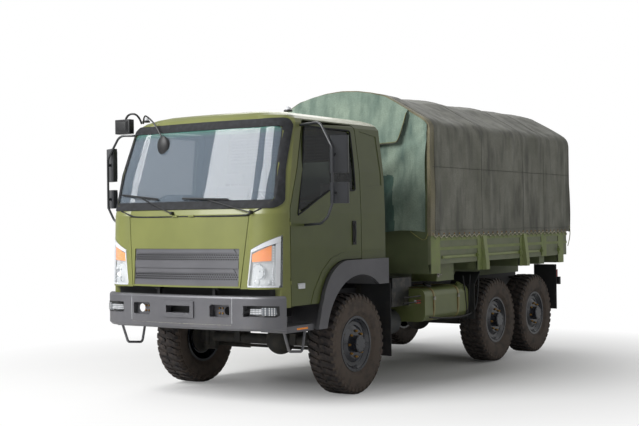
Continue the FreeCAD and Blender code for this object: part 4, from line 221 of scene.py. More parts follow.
def glass(name, tint, see_through, roughness=0.03, top_band=None):
    """Thin glass or clear moulding: a tinted film that light passes, dyed green above a given height."""
    material, tree, shader, place = finish(name, roughness)
    tone = tint
    hidden = patches(tree, place, 900, 0.35, 0.65, 1 - see_through, 1 - see_through * 0.92, detail=1)
    if top_band:
        height = add(tree, AXES, place).outputs["Z"]
        band = add(tree, SPAN, height, top_band - 0.05, top_band + 0.05)
        tone = add(tree, MIX, band, tint, "3f7d68")
        dyed = add(tree, MATHS, band, 0.35, operation="MULTIPLY")
        hidden = add(tree, MATHS, hidden, dyed, operation="ADD")
    feed(tree, shader, "Base Color", tone)
    feed(tree, shader, "Alpha", hidden)
    return material


def cloth(name, base, faded, stain, thread=3.0):
    """Woven cloth: thread bump both ways, faded patches and water stains that run down."""
    material, tree, shader, place = finish(name, 0.92)
    feed(tree, shader, "Sheen Weight", 0.2)
    feed(tree, shader, "Sheen Roughness", 0.6)
    worn = patches(tree, place, 380, 0.35, 0.65, detail=5)
    runs = patches(tree, place, 130, 0.45, 0.72, detail=6, stretch=(1, 1, 0.25))
    speck = patches(tree, place, 14, 0.3, 0.7, 0.0, 0.25)
    tone = add(tree, MIX, worn, base, faded)
    stained = add(tree, MIX, runs, tone, stain)
    feed(tree, shader, "Base Color", add(tree, MIX, speck, stained, "2f2f2a"))
    waves = {"Scale": 1000 / thread / 20, "Distortion": 0.4}
    warp, weft = (add(tree, "ShaderNodeTexWave", place, named=waves, bands_direction=way) for way in "XZ")
    threads = add(tree, MATHS, warp.outputs["Fac"], weft.outputs["Fac"], operation="ADD")
    raise_surface(tree, shader, threads, 0.35, 1.0)
    return material


# plated brass nuts: warm metal with tarnish in small spots
BRASS = metal("tarnished_brass", "b08a4a", "7a5c30", 0.35, 7, pitted=False)
# chromium plate of bowls, mirror glass and headrest stems
CHROME = metal("bright_chrome", "e6e8ea", "c8cbce", 0.12, 30)
# zinc-plated steel of bows, hooks and buckles: grey, with a soft highlight
ZINC = metal("dull_zinc_plate", "a9a79c", "83807a", 0.4, 30)
# tyre rubber: near black on the tread, brown with dried dust on the flanks
TREAD_RUBBER = rubber("tread_rubber", "19181a", "453c37", 0.3)
FLANK_RUBBER = rubber("dusty_sidewall_rubber", "2f2b29", "51473f", 0.65, 90)
# black rubber of window and screen seals
SEAL_RUBBER = rubber("black_seal_rubber", "0e1013", "23252a", 0.2)
# tan webbing between the fuel tank and its straps
STRAP_WEB = rubber("tan_strap_liner", "6e4f34", "8f7350", 0.5, 60)
# laminated screen: a grey-blue film with a green band along its top
SCREEN_GLASS = glass("laminated_windscreen_glass", "6c7884", 0.52, top_band=2.82)
# tempered glass of doors and rear window, dark from the cab behind it
SIDE_GLASS = glass("tempered_side_glass", "151b1d", 0.55)
# clear and red lamp mouldings
CLEAR_LENS = glass("clear_lamp_lens", "e6ecf0", 0.86)
RED_LENS = glass("red_lamp_lens", "a01414", 0.1, 0.12)
# thin polythene film: nearly clear, with a soft sheen
WRAPPING = glass("clear_polythene_wrapping", "dfe6ea", 0.72, 0.12)
# proofed cotton canvas, weathered grey over olive
COVER_CANVAS = cloth("weathered_cover_canvas", "76776a", "8f8f83", "53534a")
# khaki edging along the cover's front
KHAKI_CANVAS = cloth("khaki_edge_canvas", "8a8465", "97907a", "6e6950")
# dark tape sewn over the cover's seams
COVER_DARK = cloth("dark_seam_tape", "4c4c42", "5a5a4e", "38382f")
# newer sage-green canvas of the front curtain, and a darker teal copy of it that is painted shade over the
# curtain's lower middle
CURTAIN_CANVAS = cloth("sage_curtain_canvas", "84988a", "9aac9b", "5f766c")
CURTAIN_SHADE = cloth("teal_curtain_painted_shade", "45655a", "527267", "35504a")
# grey woven seat cloth, also used for the cab's inner trim
SEAT_CLOTH = cloth("grey_seat_cloth", "3a3c40", "44474b", "2c2d31", 2.5)
# laid hemp rope, pale and dry
HEMP = cloth("hemp_rope", "d6cfb4", "e2dcc6", "a89f80", 2.0)
# yellow-green nylon tie cord
NYLON = cloth("yellow_green_tie_cord", "8f9050", "a2a25e", "6c6e3c", 2.0)


def board_enamel():
    """Older paint on the boards, brighter on the posts and brackets that stand proud of them, with a pale
    painted highlight on the outermost faces.
    """
    material, tree, shader, place = finish("two_tone_board_enamel", 0.5)
    breadth = add(tree, AXES, place).outputs["Y"]
    side = add(tree, MATHS, breadth, operation="ABSOLUTE")
    post = add(tree, SPAN, side, 1.2155, 1.2175)
    # mask of the outermost faces, beyond the beads' line, for the painted highlight
    bead = add(tree, SPAN, side, 1.2225, 1.2245)
    shift = patches(tree, place, 300, 0.35, 0.65)
    board = add(tree, MIX, shift, "737a5f", "7d8468")
    bright = add(tree, MIX, shift, "8b985c", "7c8954")
    dust = patches(tree, place, 80, 0.45, 0.75, 0, 0.4, detail=6)
    both = add(tree, MIX, post, board, bright)
    dusty = add(tree, MIX, dust, both, "8a866e")
    # painted highlight: a pale tint mixed over the outermost faces
    edge = add(tree, MATHS, bead, 0.15, operation="MULTIPLY")
    feed(tree, shader, "Base Color", add(tree, MIX, edge, dusty, "d8dcb0"))
    raise_surface(tree, shader, cloud(tree, place, 8, 2), 0.12, 0.5)
    return material


def box_enamel():
    """Green enamel on the toolbox, black on the battery box ahead of it."""
    material, tree, shader, place = finish("toolbox_and_battery_box_paint", 0.42, coat=0.15)
    length = add(tree, AXES, place).outputs["X"]
    front = add(tree, SPAN, length, 0.498, 0.502)
    dust = patches(tree, place, 70, 0.45, 0.75, 0, 0.4, detail=6)
    green = add(tree, MIX, cloud(tree, place, 300), "6b7545", "5c6540")
    both = add(tree, MIX, front, green, "15171a")
    feed(tree, shader, "Base Color", add(tree, MIX, dust, both, "6e685a"))
    return material


def fluted_glass():
    """Pressed lamp glass: bright, with a grid of small raised dots over a silvered back."""
    material, tree, shader, place = finish("pressed_lamp_glass", 0.12, 0.3, 0.8)
    dots = add(tree, "ShaderNodeTexVoronoi", place, named={"Scale": 55, "Randomness": 0.0})
    spots = add(tree, SPAN, dots.outputs["Distance"], 0.25, 0.45)
    feed(tree, shader, "Base Color", add(tree, MIX, spots, "f2f4f6", "74787e"))
    raise_surface(tree, shader, add(tree, MATHS, spots, -1, operation="MULTIPLY"), 0.6, 1.5)
    return material


def coat(material, *names):
    """Give CAD nodes this finish all over."""
    for name in names:
        for slot in NODES[name].material_slots:
            slot.material = material


# the front, roof and flap take the lit copy of the olive enamel: painted light
coat(LIT_CAB_ENAMEL, "cab_roof", "front_flap", "cab_front")
# the doors, sides and back take the darker copy of the olive enamel: painted shade
coat(SHADED_SIDE_ENAMEL, "cab_side_left", "cab_side_right", "door_left", "door_right", "cab_back")
coat(GUNMETAL, "bumper", "grille", "wheel_arches", "entry_steps")
coat(BED_ENAMEL, "headboard", "tailgate", "bed_floor")
coat(CHASSIS_BLACK, "cab_floor", "frame_rails", "crossmembers", "leaf_springs", "mudguards", "spare_carrier")
coat(CAST_IRON, "front_axle", "rear_axles", "knuckle_left", "knuckle_right", "tie_rod", "power_unit",
     "drive_shafts", "exhaust")
coat(BLACK_PLASTIC, "dashboard")
coat(MIRROR_PLASTIC, "mirrors_left", "mirrors_right")
coat(TANK_ENAMEL, "fuel_tank")
coat(TANK_GREY, "air_tanks")
coat(ZINC, "cover_bows")
coat(RED_LENS, "tail_lamps")
coat(SIDE_GLASS, "door_glass_left", "door_glass_right", "rear_window")
coat(SCREEN_GLASS, "windshield")
coat(CLEAR_LENS, "headlamps")
coat(board_enamel(), "side_boards")
coat(box_enamel(), "side_boxes")


# ---------------------------------------------------------------- modelling by hand
def deselect():
    for piece in list(bpy.context.selected_objects):
        piece.select_set(False)


def only(*pieces):
    """Select these pieces alone and make the first of them active."""
    deselect()
    for piece in pieces:
        piece.select_set(True)
    bpy.context.view_layer.objects.active = pieces[0]


def mirrored(sign, *points):
    """Points given for the left side, on the side of this sign."""
    return [(x, sign * y, z) for x, y, z in points]


def named(name):
    """Name the piece that an operator has just made and put its place into its mesh."""
    piece = bpy.context.object
    piece.name = name
    return settle(piece)


def settle(piece):
    """Put a piece's place into its mesh."""
    only(piece)
    bpy.ops.object.transform_apply(location=True, rotation=True, scale=True)
    return piece


def start_box(name, first, second):
    """A box between two opposite corners, in any order."""
    deselect()
    middle = [(a + b) / 2 for a, b in zip(first, second)]
    size = [abs(b - a) for a, b in zip(first, second)]
    bpy.ops.mesh.primitive_cube_add(size=1, location=middle, scale=size)
    return named(name)


def start_rod(name, start, end, radius, sides=24):
    """A cylinder from one point to another."""
    deselect()
    start, end = Vector(start), Vector(end)
    turn = (end - start).to_track_quat("Z", "Y").to_euler()
    bpy.ops.mesh.primitive_cylinder_add(vertices=sides, radius=radius, depth=(end - start).length,
                                        location=(start + end) / 2, rotation=turn)
    return named(name)


def every_face(middle, normal):
    return True


def facing(x=0, y=0, z=0):
    """A test for the faces that look this way."""
    way = Vector((x, y, z))
    return lambda middle, normal: normal.dot(way) > SQUARE_ON


def both_ends(axis):
    """A test for the faces that look either way along an axis: 0, 1 or 2."""
    return lambda middle, normal: abs(normal[axis]) > SQUARE_ON


def edit(piece, pick, *steps):
    """Select the faces that a test on their middle and normal picks, and run the operators on them."""
    only(piece)
    bpy.context.tool_settings.mesh_select_mode = (False, False, True)
    mesh = piece.data
    for parts in (mesh.vertices, mesh.edges):
        parts.foreach_set("select", [False] * len(parts))
    for face in mesh.polygons:
        face.select = bool(pick(face.center, face.normal))
    bpy.ops.object.mode_set(mode="EDIT")
    for operator, settings in steps:
        operator(**settings)
    bpy.ops.object.mode_set(mode="OBJECT")
    return piece


def inset(thickness, depth=0.0):
    return bpy.ops.mesh.inset, {"thickness": thickness, "depth": depth}


def extrude(move):
    return bpy.ops.mesh.extrude_region_move, {"TRANSFORM_OT_translate": {"value": move}}


def slice_through(piece, place, normal):
    """Divide a piece's faces along a plane."""
    return edit(piece, every_face, (bpy.ops.mesh.bisect, {"plane_co": place, "plane_no": normal}))


def modify(piece, kind, **settings):
    """Add a modifier with its settings and apply it."""
    only(piece)
    step = piece.modifiers.new(kind.lower(), kind)
    for name, value in settings.items():
        setattr(step, name, value)
    bpy.ops.object.modifier_apply(modifier=step.name)
    return piece


def round_edges(piece, width, segments=2):
    modify(piece, "BEVEL", width=width, segments=segments, limit_method="ANGLE", angle_limit=0.6)
    return smooth(piece)


def smooth(piece, degrees=40):
    only(piece)
    bpy.ops.object.shade_smooth_by_angle(angle=math.radians(degrees))
    return piece


def thicken(piece, thickness=0.0025, degrees=70):
    """Give a sheet its thickness, half to each side."""
    modify(piece, "SOLIDIFY", thickness=thickness, offset=0)
    return smooth(piece, degrees)


def paint(piece, *materials):
    piece.data.materials.clear()
    for material in materials:
        piece.data.materials.append(material)
    return piece


def ride(piece, body):
    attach(piece, body)
    return piece


def dress(piece, material, body):
    """Give a finished piece its material and the body it moves with."""
    return ride(paint(piece, material), body)


def joined(name, pieces):
    only(*pieces)
    bpy.ops.object.join()
    piece = bpy.context.object
    piece.name = name
    return piece


def placed_copy(piece, name, move):
    """A copy with its own mesh, moved by a matrix."""
    only(piece)
    bpy.ops.object.duplicate(linked=False)
    twin = bpy.context.object
    twin.name = name
    twin.matrix_world = move @ twin.matrix_world
    return settle(twin)


def turned(name, centre, axis, profile, steps=48):
    """Draw a half section of (along the axis, radius) points from a single vertex and spin it round."""
    centre, axis = Vector(centre), Vector(axis)
    outward = Vector(UPRIGHT) if abs(axis.z) < SQUARE_ON else Vector(FORWARD)
    start = centre + axis * profile[0][0] + outward * profile[0][1]
    deselect()
    bpy.ops.mesh.primitive_plane_add(size=0.001, location=start)
    piece = bpy.context.object
    piece.name = name
    bpy.context.tool_settings.mesh_select_mode = (True, False, False)
    bpy.ops.object.mode_set(mode="EDIT")
    bpy.ops.mesh.select_all(action="SELECT")
    bpy.ops.mesh.merge(type="CENTER")
    for before, after in zip(profile, profile[1:]):
        move = axis * (after[0] - before[0]) + outward * (after[1] - before[1])
        bpy.ops.mesh.extrude_vertices_move(TRANSFORM_OT_translate={"value": move})
    bpy.ops.mesh.select_all(action="SELECT")
    bpy.ops.mesh.spin(steps=steps, angle=math.tau, center=centre, axis=axis)
    bpy.ops.mesh.select_all(action="SELECT")
    bpy.ops.mesh.remove_doubles(threshold=0.00002)
    bpy.ops.mesh.normals_make_consistent(inside=False)
    bpy.ops.object.mode_set(mode="OBJECT")
    return smooth(settle(piece))


def round_the_axle(piece, count, centre):
    """Repeat a piece's faces round a wheel's axis."""
    span = math.tau * (count - 1) / count
    settings = {"steps": count - 1, "dupli": True, "angle": span, "center": centre, "axis": SIDEWAYS}
    return edit(piece, every_face, (bpy.ops.mesh.spin, settings))


def piping(name, points, radius, loop=False):
    """A round bar, cord or bead along a smooth line through a few points, made a mesh."""
    deselect()
    bpy.ops.curve.primitive_nurbs_path_add()
    line = bpy.context.object
    line.data.splines.clear()
    spline = line.data.splines.new("NURBS")
    spline.points.add(len(points) - 1)
    for control, place in zip(spline.points, points):
        control.co = (*place, 1)
    spline.order_u = 3
    spline.use_endpoint_u = not loop
    spline.use_cyclic_u = loop
    spline.resolution_u = 6
    line.data.bevel_depth = radius
    line.data.bevel_resolution = 1
    line.data.use_fill_caps = not loop
    bpy.ops.object.convert(target="MESH")
    return smooth(named(name), 60)


def skin_of(name, *nodes):
    """A merged copy of CAD nodes, to lay trim against."""
    copies = []
    for node in nodes:
        twin = NODES[node].copy()
        twin.data = NODES[node].data.copy()
        twin.parent = None
        for key in list(twin.keys()):
            del twin[key]
        bpy.context.scene.collection.objects.link(twin)
        copies.append(twin)
    return edit(joined(name, copies), every_face, (bpy.ops.mesh.remove_doubles, {"threshold": 0.00005}))


# how far a line that misses a skin is moved, in turn
NUDGES = (0.0, 0.004, -0.004, 0.010, -0.010, 0.02, -0.02, 0.03, -0.03)


def strike(skin, start, direction):
    """Where a line from a point first meets a skin; one that slips through a joint is moved a little."""
    sideways = Vector(SIDEWAYS) if direction[0] else Vector(FORWARD)
    for step in NUDGES:
        for nudge in (Vector((0, 0, step)), sideways * step):
            hit, place, normal, index = skin.ray_cast(Vector(start) + nudge, Vector(direction))
            if hit:
                return place
    raise ValueError(f"nothing to lay this trim on at {start}")


def from_ahead(skin, y, z):
    """Where a line from ahead of the truck meets a skin at this breadth and height."""
    return strike(skin, (AHEAD, y, z), (-1, 0, 0))


def from_beside(x, z, sign):
    """Where a line from beside the truck meets the cab at this length and height."""
    return strike(CAB_SKIN, (x, sign * BESIDE, z), (0, -sign, 0))


def laid_panel(name, outline, sign, skin, proud, thickness, cell):
    """An outline of (breadth, height) points, divided, pressed back on to a skin and given a thickness."""
    deselect()
    corners = [(DRAWN_AHEAD, sign * y, z) for y, z in outline]
    centre = sum((Vector(corner) for corner in corners), Vector()) / len(corners)
    bpy.ops.mesh.primitive_circle_add(vertices=len(corners), radius=0.1, fill_type="NGON", location=centre)
    piece = named(name)
    for vertex, corner in zip(piece.data.vertices, corners):
        vertex.co = corner
    return press(piece, skin, proud, thickness, cell)


def press(piece, skin, proud, thickness, cell):
    """Slice a flat upright piece into cells, press it back on to a skin and give it a thickness."""
    spots = [vertex.co.copy() for vertex in piece.data.vertices]
    for direction in (1, 2):
        low = min(spot[direction] for spot in spots)
        high = max(spot[direction] for spot in spots)
        normal = Vector((0, 0, 0))
        normal[direction] = 1
        for step in range(1, int((high - low) / cell) + 1):
            slice_through(piece, normal * (low + step * cell), normal)
    modify(piece, "SHRINKWRAP", wrap_method="PROJECT", target=skin, use_project_x=True,
           use_negative_direction=True, use_positive_direction=True, offset=proud)
    if sum(face.normal.x * face.area for face in piece.data.polygons) < 0:
        edit(piece, every_face, (bpy.ops.mesh.flip_normals, {}))
    modify(piece, "SOLIDIFY", thickness=thickness, offset=1)
    return smooth(piece)


# ---------------------------------------------------------------- tyres and wheels
LUGS_A_ROW = 40
# the dusty flank: within this radius, and further than this from the tyre's middle
FLANK_RADIUS, FLANK_START = 0.512, 0.10
# half of a tyre's section, from the bead out to the tread: (from its middle, radius)
TYRE_HALF = [(0.106, 0.292), (0.118, 0.296), (0.135, 0.33), (0.150, 0.345), (0.152, 0.352), (0.158, 0.40),
             (0.1595, 0.44), (0.156, 0.462), (0.160, 0.468), (0.154, 0.478), (0.148, 0.50), (0.130, 0.522),
             (0.06, 0.528)]
SPARE_DISC = [(0.09, 0.0), (0.09, 0.06), (0.05, 0.075), (0.05, 0.16), (-0.02, 0.20), (-0.10, 0.24),
              (-0.125, 0.265), (-0.128, 0.30), (-0.118, 0.30), (-0.10, 0.262), (0.12, 0.262), (0.128, 0.30)]


def lug_row(sign, offset):
    """One row of slanting lugs, stepped down over the tyre's shoulder."""
    lug = start_box("lug", (FRONT - 0.023, HALF_TRACK + sign * 0.012, AXLE_HEIGHT + 0.50),
                    (FRONT + 0.023, HALF_TRACK + sign * 0.158, AXLE_HEIGHT + 0.544))
    for cut in (0.13, 0.06):
        slice_through(lug, (0, HALF_TRACK + sign * cut, 0), SIDEWAYS)
    for vertex in lug.data.vertices:
        reach = abs(vertex.co.y - HALF_TRACK)
        high_up = vertex.co.z > AXLE_HEIGHT + 0.52
        vertex.co.x += sign * (reach - 0.085) * 0.42
        if reach > 0.15:
            vertex.co.z = AXLE_HEIGHT + (0.508 if high_up else 0.462)
            vertex.co.y = HALF_TRACK + sign * (0.1585 if high_up else 0.157)
        elif reach > 0.125:
            vertex.co.z -= 0.003 if high_up else 0.0
        if reach < 0.02:
            vertex.co.x = FRONT + (vertex.co.x - FRONT) * 0.75
    modify(lug, "BEVEL", width=0.0035, segments=1, limit_method="ANGLE", angle_limit=0.7)
    to_middle = Matrix.Translation(-Vector(WHEEL_CENTRE))
    turn = Matrix.Translation(WHEEL_CENTRE) @ Matrix.Rotation(offset, 4, "Y") @ to_middle
    for vertex in lug.data.vertices:
        vertex.co = turn @ vertex.co
    return round_the_axle(lug, LUGS_A_ROW, WHEEL_CENTRE)


def tyre():
    """The front left tyre: a carcass spun from its half section, and two rows of lugs, half a lug apart."""
    profile = TYRE_HALF + [(-out, radius) for out, radius in reversed(TYRE_HALF)]
    carcass = turned("carcass", WHEEL_CENTRE, SIDEWAYS, profile, 72)
    rows = [lug_row(1, 0.0), lug_row(-1, math.tau / (2 * LUGS_A_ROW))]
    piece = paint(joined("tyre_front_left_rubber", [carcass, *rows]), TREAD_RUBBER, FLANK_RUBBER)
    for face in piece.data.polygons:
        radius = math.hypot(face.center.x - FRONT, face.center.z - AXLE_HEIGHT)
        out = abs(face.center.y - HALF_TRACK)
        face.material_index = int(radius < FLANK_RADIUS and out > FLANK_START)
    return piece


def fixings():
    """Eight brass wheel nuts on their studs, and eight dark bolts on the hub's cap."""
    centre = (FRONT, 1.18, AXLE_HEIGHT)
    stud_height, bolt_height = AXLE_HEIGHT + 0.1375, AXLE_HEIGHT + 0.076
    stud = start_rod("nut", (FRONT, 1.168, stud_height), (FRONT, 1.190, stud_height), 0.0150, 6)
    edit(stud, facing(y=1), inset(0.006), extrude((0, 0.011, 0)), inset(0.002, -0.002))
    nuts = paint(round_the_axle(round_edges(stud, 0.0018, 1), 8, centre), BRASS)
    bolt = start_rod("bolt", (FRONT, 1.222, bolt_height), (FRONT, 1.2385, bolt_height), 0.0095, 6)
    edit(bolt, facing(y=1), inset(0.003), extrude((0, 0.003, 0)))
    bolts = paint(round_the_axle(bolt, 8, centre), CHASSIS_BLACK)
    return joined("wheel_fixings_front_left", [nuts, bolts])


def wheels():
    """The front left wheel's rubber and fixings, copied to the other wheels, and the spare wheel."""
    rolled = {"front": 0.3, "middle": 0.9, "rear": 1.7}
    from_front_left = Matrix.Translation(-Vector(WHEEL_CENTRE))
    dressed = [("front_left", tyre(), fixings())]
    rubber_piece, nuts = dressed[0][1:]
    for axle, x in AXLES.items():
        for side, sign in SIDES.items():
            label = f"{axle}_{side}"
            coat(RIM_BLACK, f"wheel_{label}")
            if label == "front_left":
                continue
            half_turn = Matrix.Identity(4) if sign > 0 else Matrix.Rotation(math.pi, 4, "Z")
            to_axle = (Matrix.Translation((x, sign * HALF_TRACK, AXLE_HEIGHT)) @ half_turn
                       @ Matrix.Rotation(rolled[axle] * sign, 4, "Y") @ from_front_left)
            dressed.append((label, placed_copy(rubber_piece, f"tyre_{label}_rubber", to_axle),
                            placed_copy(nuts, f"wheel_fixings_{label}", to_axle)))
    for label, tread, bolts in dressed:
        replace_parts(ride(tread, f"{label}_wheel"), f"tyre_{label}")
        ride(bolts, f"{label}_wheel")
    centre = Vector([(a + b) / 2 for a, b in zip(*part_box("spare_wheel"))])
    to_spare = Matrix.Translation(centre) @ Matrix.Rotation(math.pi / 2, 4, "Z") @ from_front_left
    spare = placed_copy(rubber_piece, "spare_tyre_rubber", to_spare)
    disc = dress(turned("spare_disc", centre, FORWARD, SPARE_DISC), RIM_BLACK, "chassis")
    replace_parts(ride(spare, "chassis"), "spare_wheel")
    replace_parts(disc, "spare_wheel")


wheels()


# ---------------------------------------------------------------- cab front
CAB_SKIN = skin_of("cab_skin", "cab_front", "windshield", "cab_side_left", "cab_side_right", "cab_roof",
                   "front_flap", "headlamps", "grille", "door_left", "door_right", "door_glass_left",
                   "door_glass_right")
BUMPER_SKIN = skin_of("bumper_skin", "bumper")
# how far the wipers stand off the screen
WIPER_CLEARANCE = Vector((0.022, 0, 0))
# lowest, highest and middle height of the screen's rubber
SEAL_FOOT, SEAL_TOP, SEAL_MIDDLE = 2.006, 2.924, 2.47


def on_front(y, z, proud=0.0):
    """The point on the cab's front at this breadth and height, stood off by so much."""
    return Vector((from_ahead(CAB_SKIN, y, z).x + proud, y, z))


def screen_seal():
    """Broad black rubber round the windscreen, run right out to the cab's corners."""
    deselect()
    start = (DRAWN_AHEAD, 0, SEAL_MIDDLE)
    bpy.ops.mesh.primitive_plane_add(size=1, location=start, rotation=(0, math.pi / 2, 0))
    piece = named("screen_seal")
    for vertex in piece.data.vertices:
        top = vertex.co.z > SEAL_MIDDLE
        vertex.co.y = math.copysign(1.066 if top else 1.132, vertex.co.y)
        vertex.co.z = SEAL_TOP if top else SEAL_FOOT
    only(piece)
    bpy.context.tool_settings.mesh_select_mode = (True, False, False)
    bpy.ops.object.mode_set(mode="EDIT")
    bpy.ops.mesh.select_all(action="SELECT")
    bpy.ops.mesh.bevel(offset=0.09, segments=6, affect="VERTICES")
    bpy.ops.mesh.select_mode(type="FACE")
    bpy.ops.mesh.select_all(action="SELECT")
    bpy.ops.mesh.inset(thickness=0.083, depth=0)
    bpy.ops.mesh.delete(type="FACE")
    bpy.ops.object.mode_set(mode="OBJECT")
    round_edges(press(piece, CAB_SKIN, 0.0035, 0.007, 0.03), 0.003)
    dress(piece, SEAL_RUBBER, "cab")


def wiper(name, pivot, heel, tip):
    """A tapered arm from its spindle to the middle of a long blade; points are (breadth, height)."""
    pivot, heel, tip = (on_front(*point) + WIPER_CLEARANCE for point in (pivot, heel, tip))
    middle = (heel + tip) / 2
    spindle = start_rod(f"{name}_spindle", pivot - Vector((0.03, 0, 0)), pivot + Vector((0.016, 0, 0.004)),
                        0.017)
    edit(spindle, facing(x=1), inset(0.005), extrude((0.008, 0, 0)))
    elbow = pivot + (middle - pivot) * 0.35 + Vector((0.022, 0, 0))
    arm = piping(f"{name}_arm", [pivot, elbow, middle], 0.0065)
    blade = start_box(f"{name}_blade", (-0.5, -0.5, -0.5), (0.5, 0.5, 0.5))
    turn = (tip - heel).to_track_quat("X", "Z").to_matrix().to_4x4()
    size = Matrix.Diagonal(((tip - heel).length, 0.012, 0.020, 1))
    blade.matrix_world = Matrix.Translation(middle) @ turn @ size
    modify(settle(blade), "BEVEL", width=0.0035, segments=2)
    lift = Vector((0.014, 0, 0))
    line = [heel.lerp(tip, 0.2) + lift, middle + Vector((0.03, 0, 0)), heel.lerp(tip, 0.8) + lift]
    bridge = piping(f"{name}_bridge", line, 0.0045)
    dress(joined(name, [spindle, arm, blade, bridge]), BLACK_PLASTIC, "cab")


def front_trim():
    screen_seal()
    groove = [on_front(y, z, 0.002) for y, z in (
        (-0.93, 2.005), (-0.80, 1.955), (-0.70, 1.935), (-0.3, 1.932), (0.3, 1.930), (0.72, 1.932),
        (0.84, 1.950), (0.95, 2.005))]
    dress(piping("cowl_groove", groove, 0.009), SEAL_RUBBER, "cab")
    wiper("wiper_right", (-0.148, 1.968), (-0.98, 2.180), (-0.40, 2.122))
    wiper("wiper_left", (0.844, 1.965), (-0.055, 2.122), (0.54, 2.102))
    # a black sheet behind the grille: painted shade seen through its holes
    dark = start_box("grille_shadow_panel", (3.606, -0.69, 1.236), (3.612, 0.69, 1.592))
    edit(dark, facing(x=1), inset(0.02, 0.001))
    dress(dark, CHASSIS_BLACK, "flap")


# each moulding of a headlamp: its outline, how far it stands from the lens, its thickness and material
LAMP_MOULDINGS = {
    "lamp_tray": (((0.80, 1.222), (1.098, 1.222), (1.100, 1.64), (0.842, 1.575), (0.80, 1.30)),
                  -0.034, 0.004, SILVERED_TRAY),
    "lamp_top_rim": (((0.842, 1.560), (0.842, 1.590), (1.108, 1.724), (1.108, 1.665)),
                     -0.012, 0.013, WHITE_PLASTIC),
    "lamp_turn_segment": (((0.850, 1.470), (0.850, 1.545), (1.045, 1.635), (1.045, 1.480)),
                          -0.018, 0.006, AMBER_REFLECTOR),
    "lamp_bottom_rim": (((0.800, 1.218), (1.100, 1.218), (1.100, 1.236), (0.802, 1.236)),
                        -0.010, 0.010, WHITE_PLASTIC),
    "lamp_outer_rim": (((1.078, 1.236), (1.106, 1.236), (1.108, 1.665), (1.078, 1.650)),
                       -0.012, 0.012, WHITE_PLASTIC),
    "lamp_inner_rim": (((0.800, 1.236), (0.812, 1.236), (0.852, 1.560), (0.842, 1.562)),
                       -0.010, 0.010, WHITE_PLASTIC)}
# breadth, height and radius of a headlamp's bowls
LAMP_BOWLS = ((0.925, 1.375, 0.078), (0.905, 1.275, 0.028), (1.012, 1.275, 0.028))


def reflector_bowl(name, centre, radius):
    """A chromed bowl with a bulb cap at its middle, facing forward."""
    depth = 0.022
    profile = [(0.0, radius), (-depth * 0.25, radius * 0.93), (-depth * 0.7, radius * 0.62),
               (-depth, radius * 0.22), (-depth * 0.4, radius * 0.2), (-depth * 0.3, 0.0)]
    return turned(name, centre, FORWARD, profile, 32)


def lamp(side, sign):
    """Behind the clear lens: white rims, amber turn segment, three bowls and a strip of small lights."""
    for name, (outline, back, thickness, material) in LAMP_MOULDINGS.items():
        piece = laid_panel(f"{name}_{side}", outline, sign, CAB_SKIN, back, thickness, 0.05)
        dress(piece, material, "cab")
    for number, (y, z, radius) in enumerate(LAMP_BOWLS):
        spot = from_ahead(CAB_SKIN, sign * y, z)
        bowl = reflector_bowl(f"lamp_bowl_{number}_{side}", (spot.x - 0.024, sign * y, z), radius)
        dress(bowl, CHROME, "cab")
    y = sign * 1.062
    dots = []
    for number in range(15):
        z = 1.25 + number * 0.0265
        spot = from_ahead(CAB_SKIN, y, z)
        dot = start_rod("dot", (spot.x - 0.012, y, z), (spot.x - 0.004, y, z), 0.0075, 8)
        dots.append(edit(dot, facing(x=1), inset(0.002, 0.002)))
    dress(joined(f"lamp_daylight_strip_{side}", dots), WHITE_PLASTIC, "cab")


def fog_lamp(side, sign):
    """Dotted glass in its black swept recess."""
    outline = ((0.790, 0.950), (0.815, 0.934), (1.120, 0.926), (1.143, 0.945), (1.140, 1.035), (0.850, 1.046),
               (0.815, 1.030))
    recess = laid_panel(f"fog_recess_{side}", outline, sign, BUMPER_SKIN, 0.0005, 0.003, 0.04)
    dress(recess, BLACK_PLASTIC, "chassis")
    outline = ((0.850, 0.952), (1.112, 0.943), (1.124, 0.955), (1.120, 1.018), (0.880, 1.028), (0.855, 1.014))
    pane = round_edges(laid_panel(f"fog_glass_{side}", outline, sign, BUMPER_SKIN, 0.004, 0.006, 0.02), 0.002)
    dress(pane, FLUTED_GLASS, "chassis")


def bumper_trim():
    for side, sign in SIDES.items():
        fog_lamp(side, sign)
        # a thin white line down each seam: painted highlight on the seam's edge
        seam = [from_ahead(BUMPER_SKIN, sign * 0.67, z) + Vector((0.0008, 0, 0))
                for z in (0.860, 0.90, 0.98, 1.06, 1.115)]
        dress(piping(f"bumper_seam_highlight_{side}", seam, 0.0022), WHITE_PLASTIC, "chassis")
        bolts = []
        for y, z in ((0.475, 0.955), (0.475, 1.005), (0.515, 0.955), (0.515, 1.005)):
            bolt = start_rod("bolt", *mirrored(sign, (3.662, y, z), (3.673, y, z)), 0.0095, 6)
            bolts.append(edit(bolt, facing(x=1), inset(0.003), extrude((0.003, 0, 0))))
        dress(joined(f"hook_plate_bolts_{side}", bolts), BRASS, "chassis")
    lip = [from_ahead(BUMPER_SKIN, y, 0.842) + Vector((0.001, 0, 0))
           for y in (-0.66, -0.4, -0.1, 0.1, 0.4, 0.66)]
    dress(piping("bumper_lower_line", lip, 0.002), ZINC, "chassis")


FLUTED_GLASS = fluted_glass()
front_trim()
for side, sign in SIDES.items():
    lamp(side, sign)
bumper_trim()


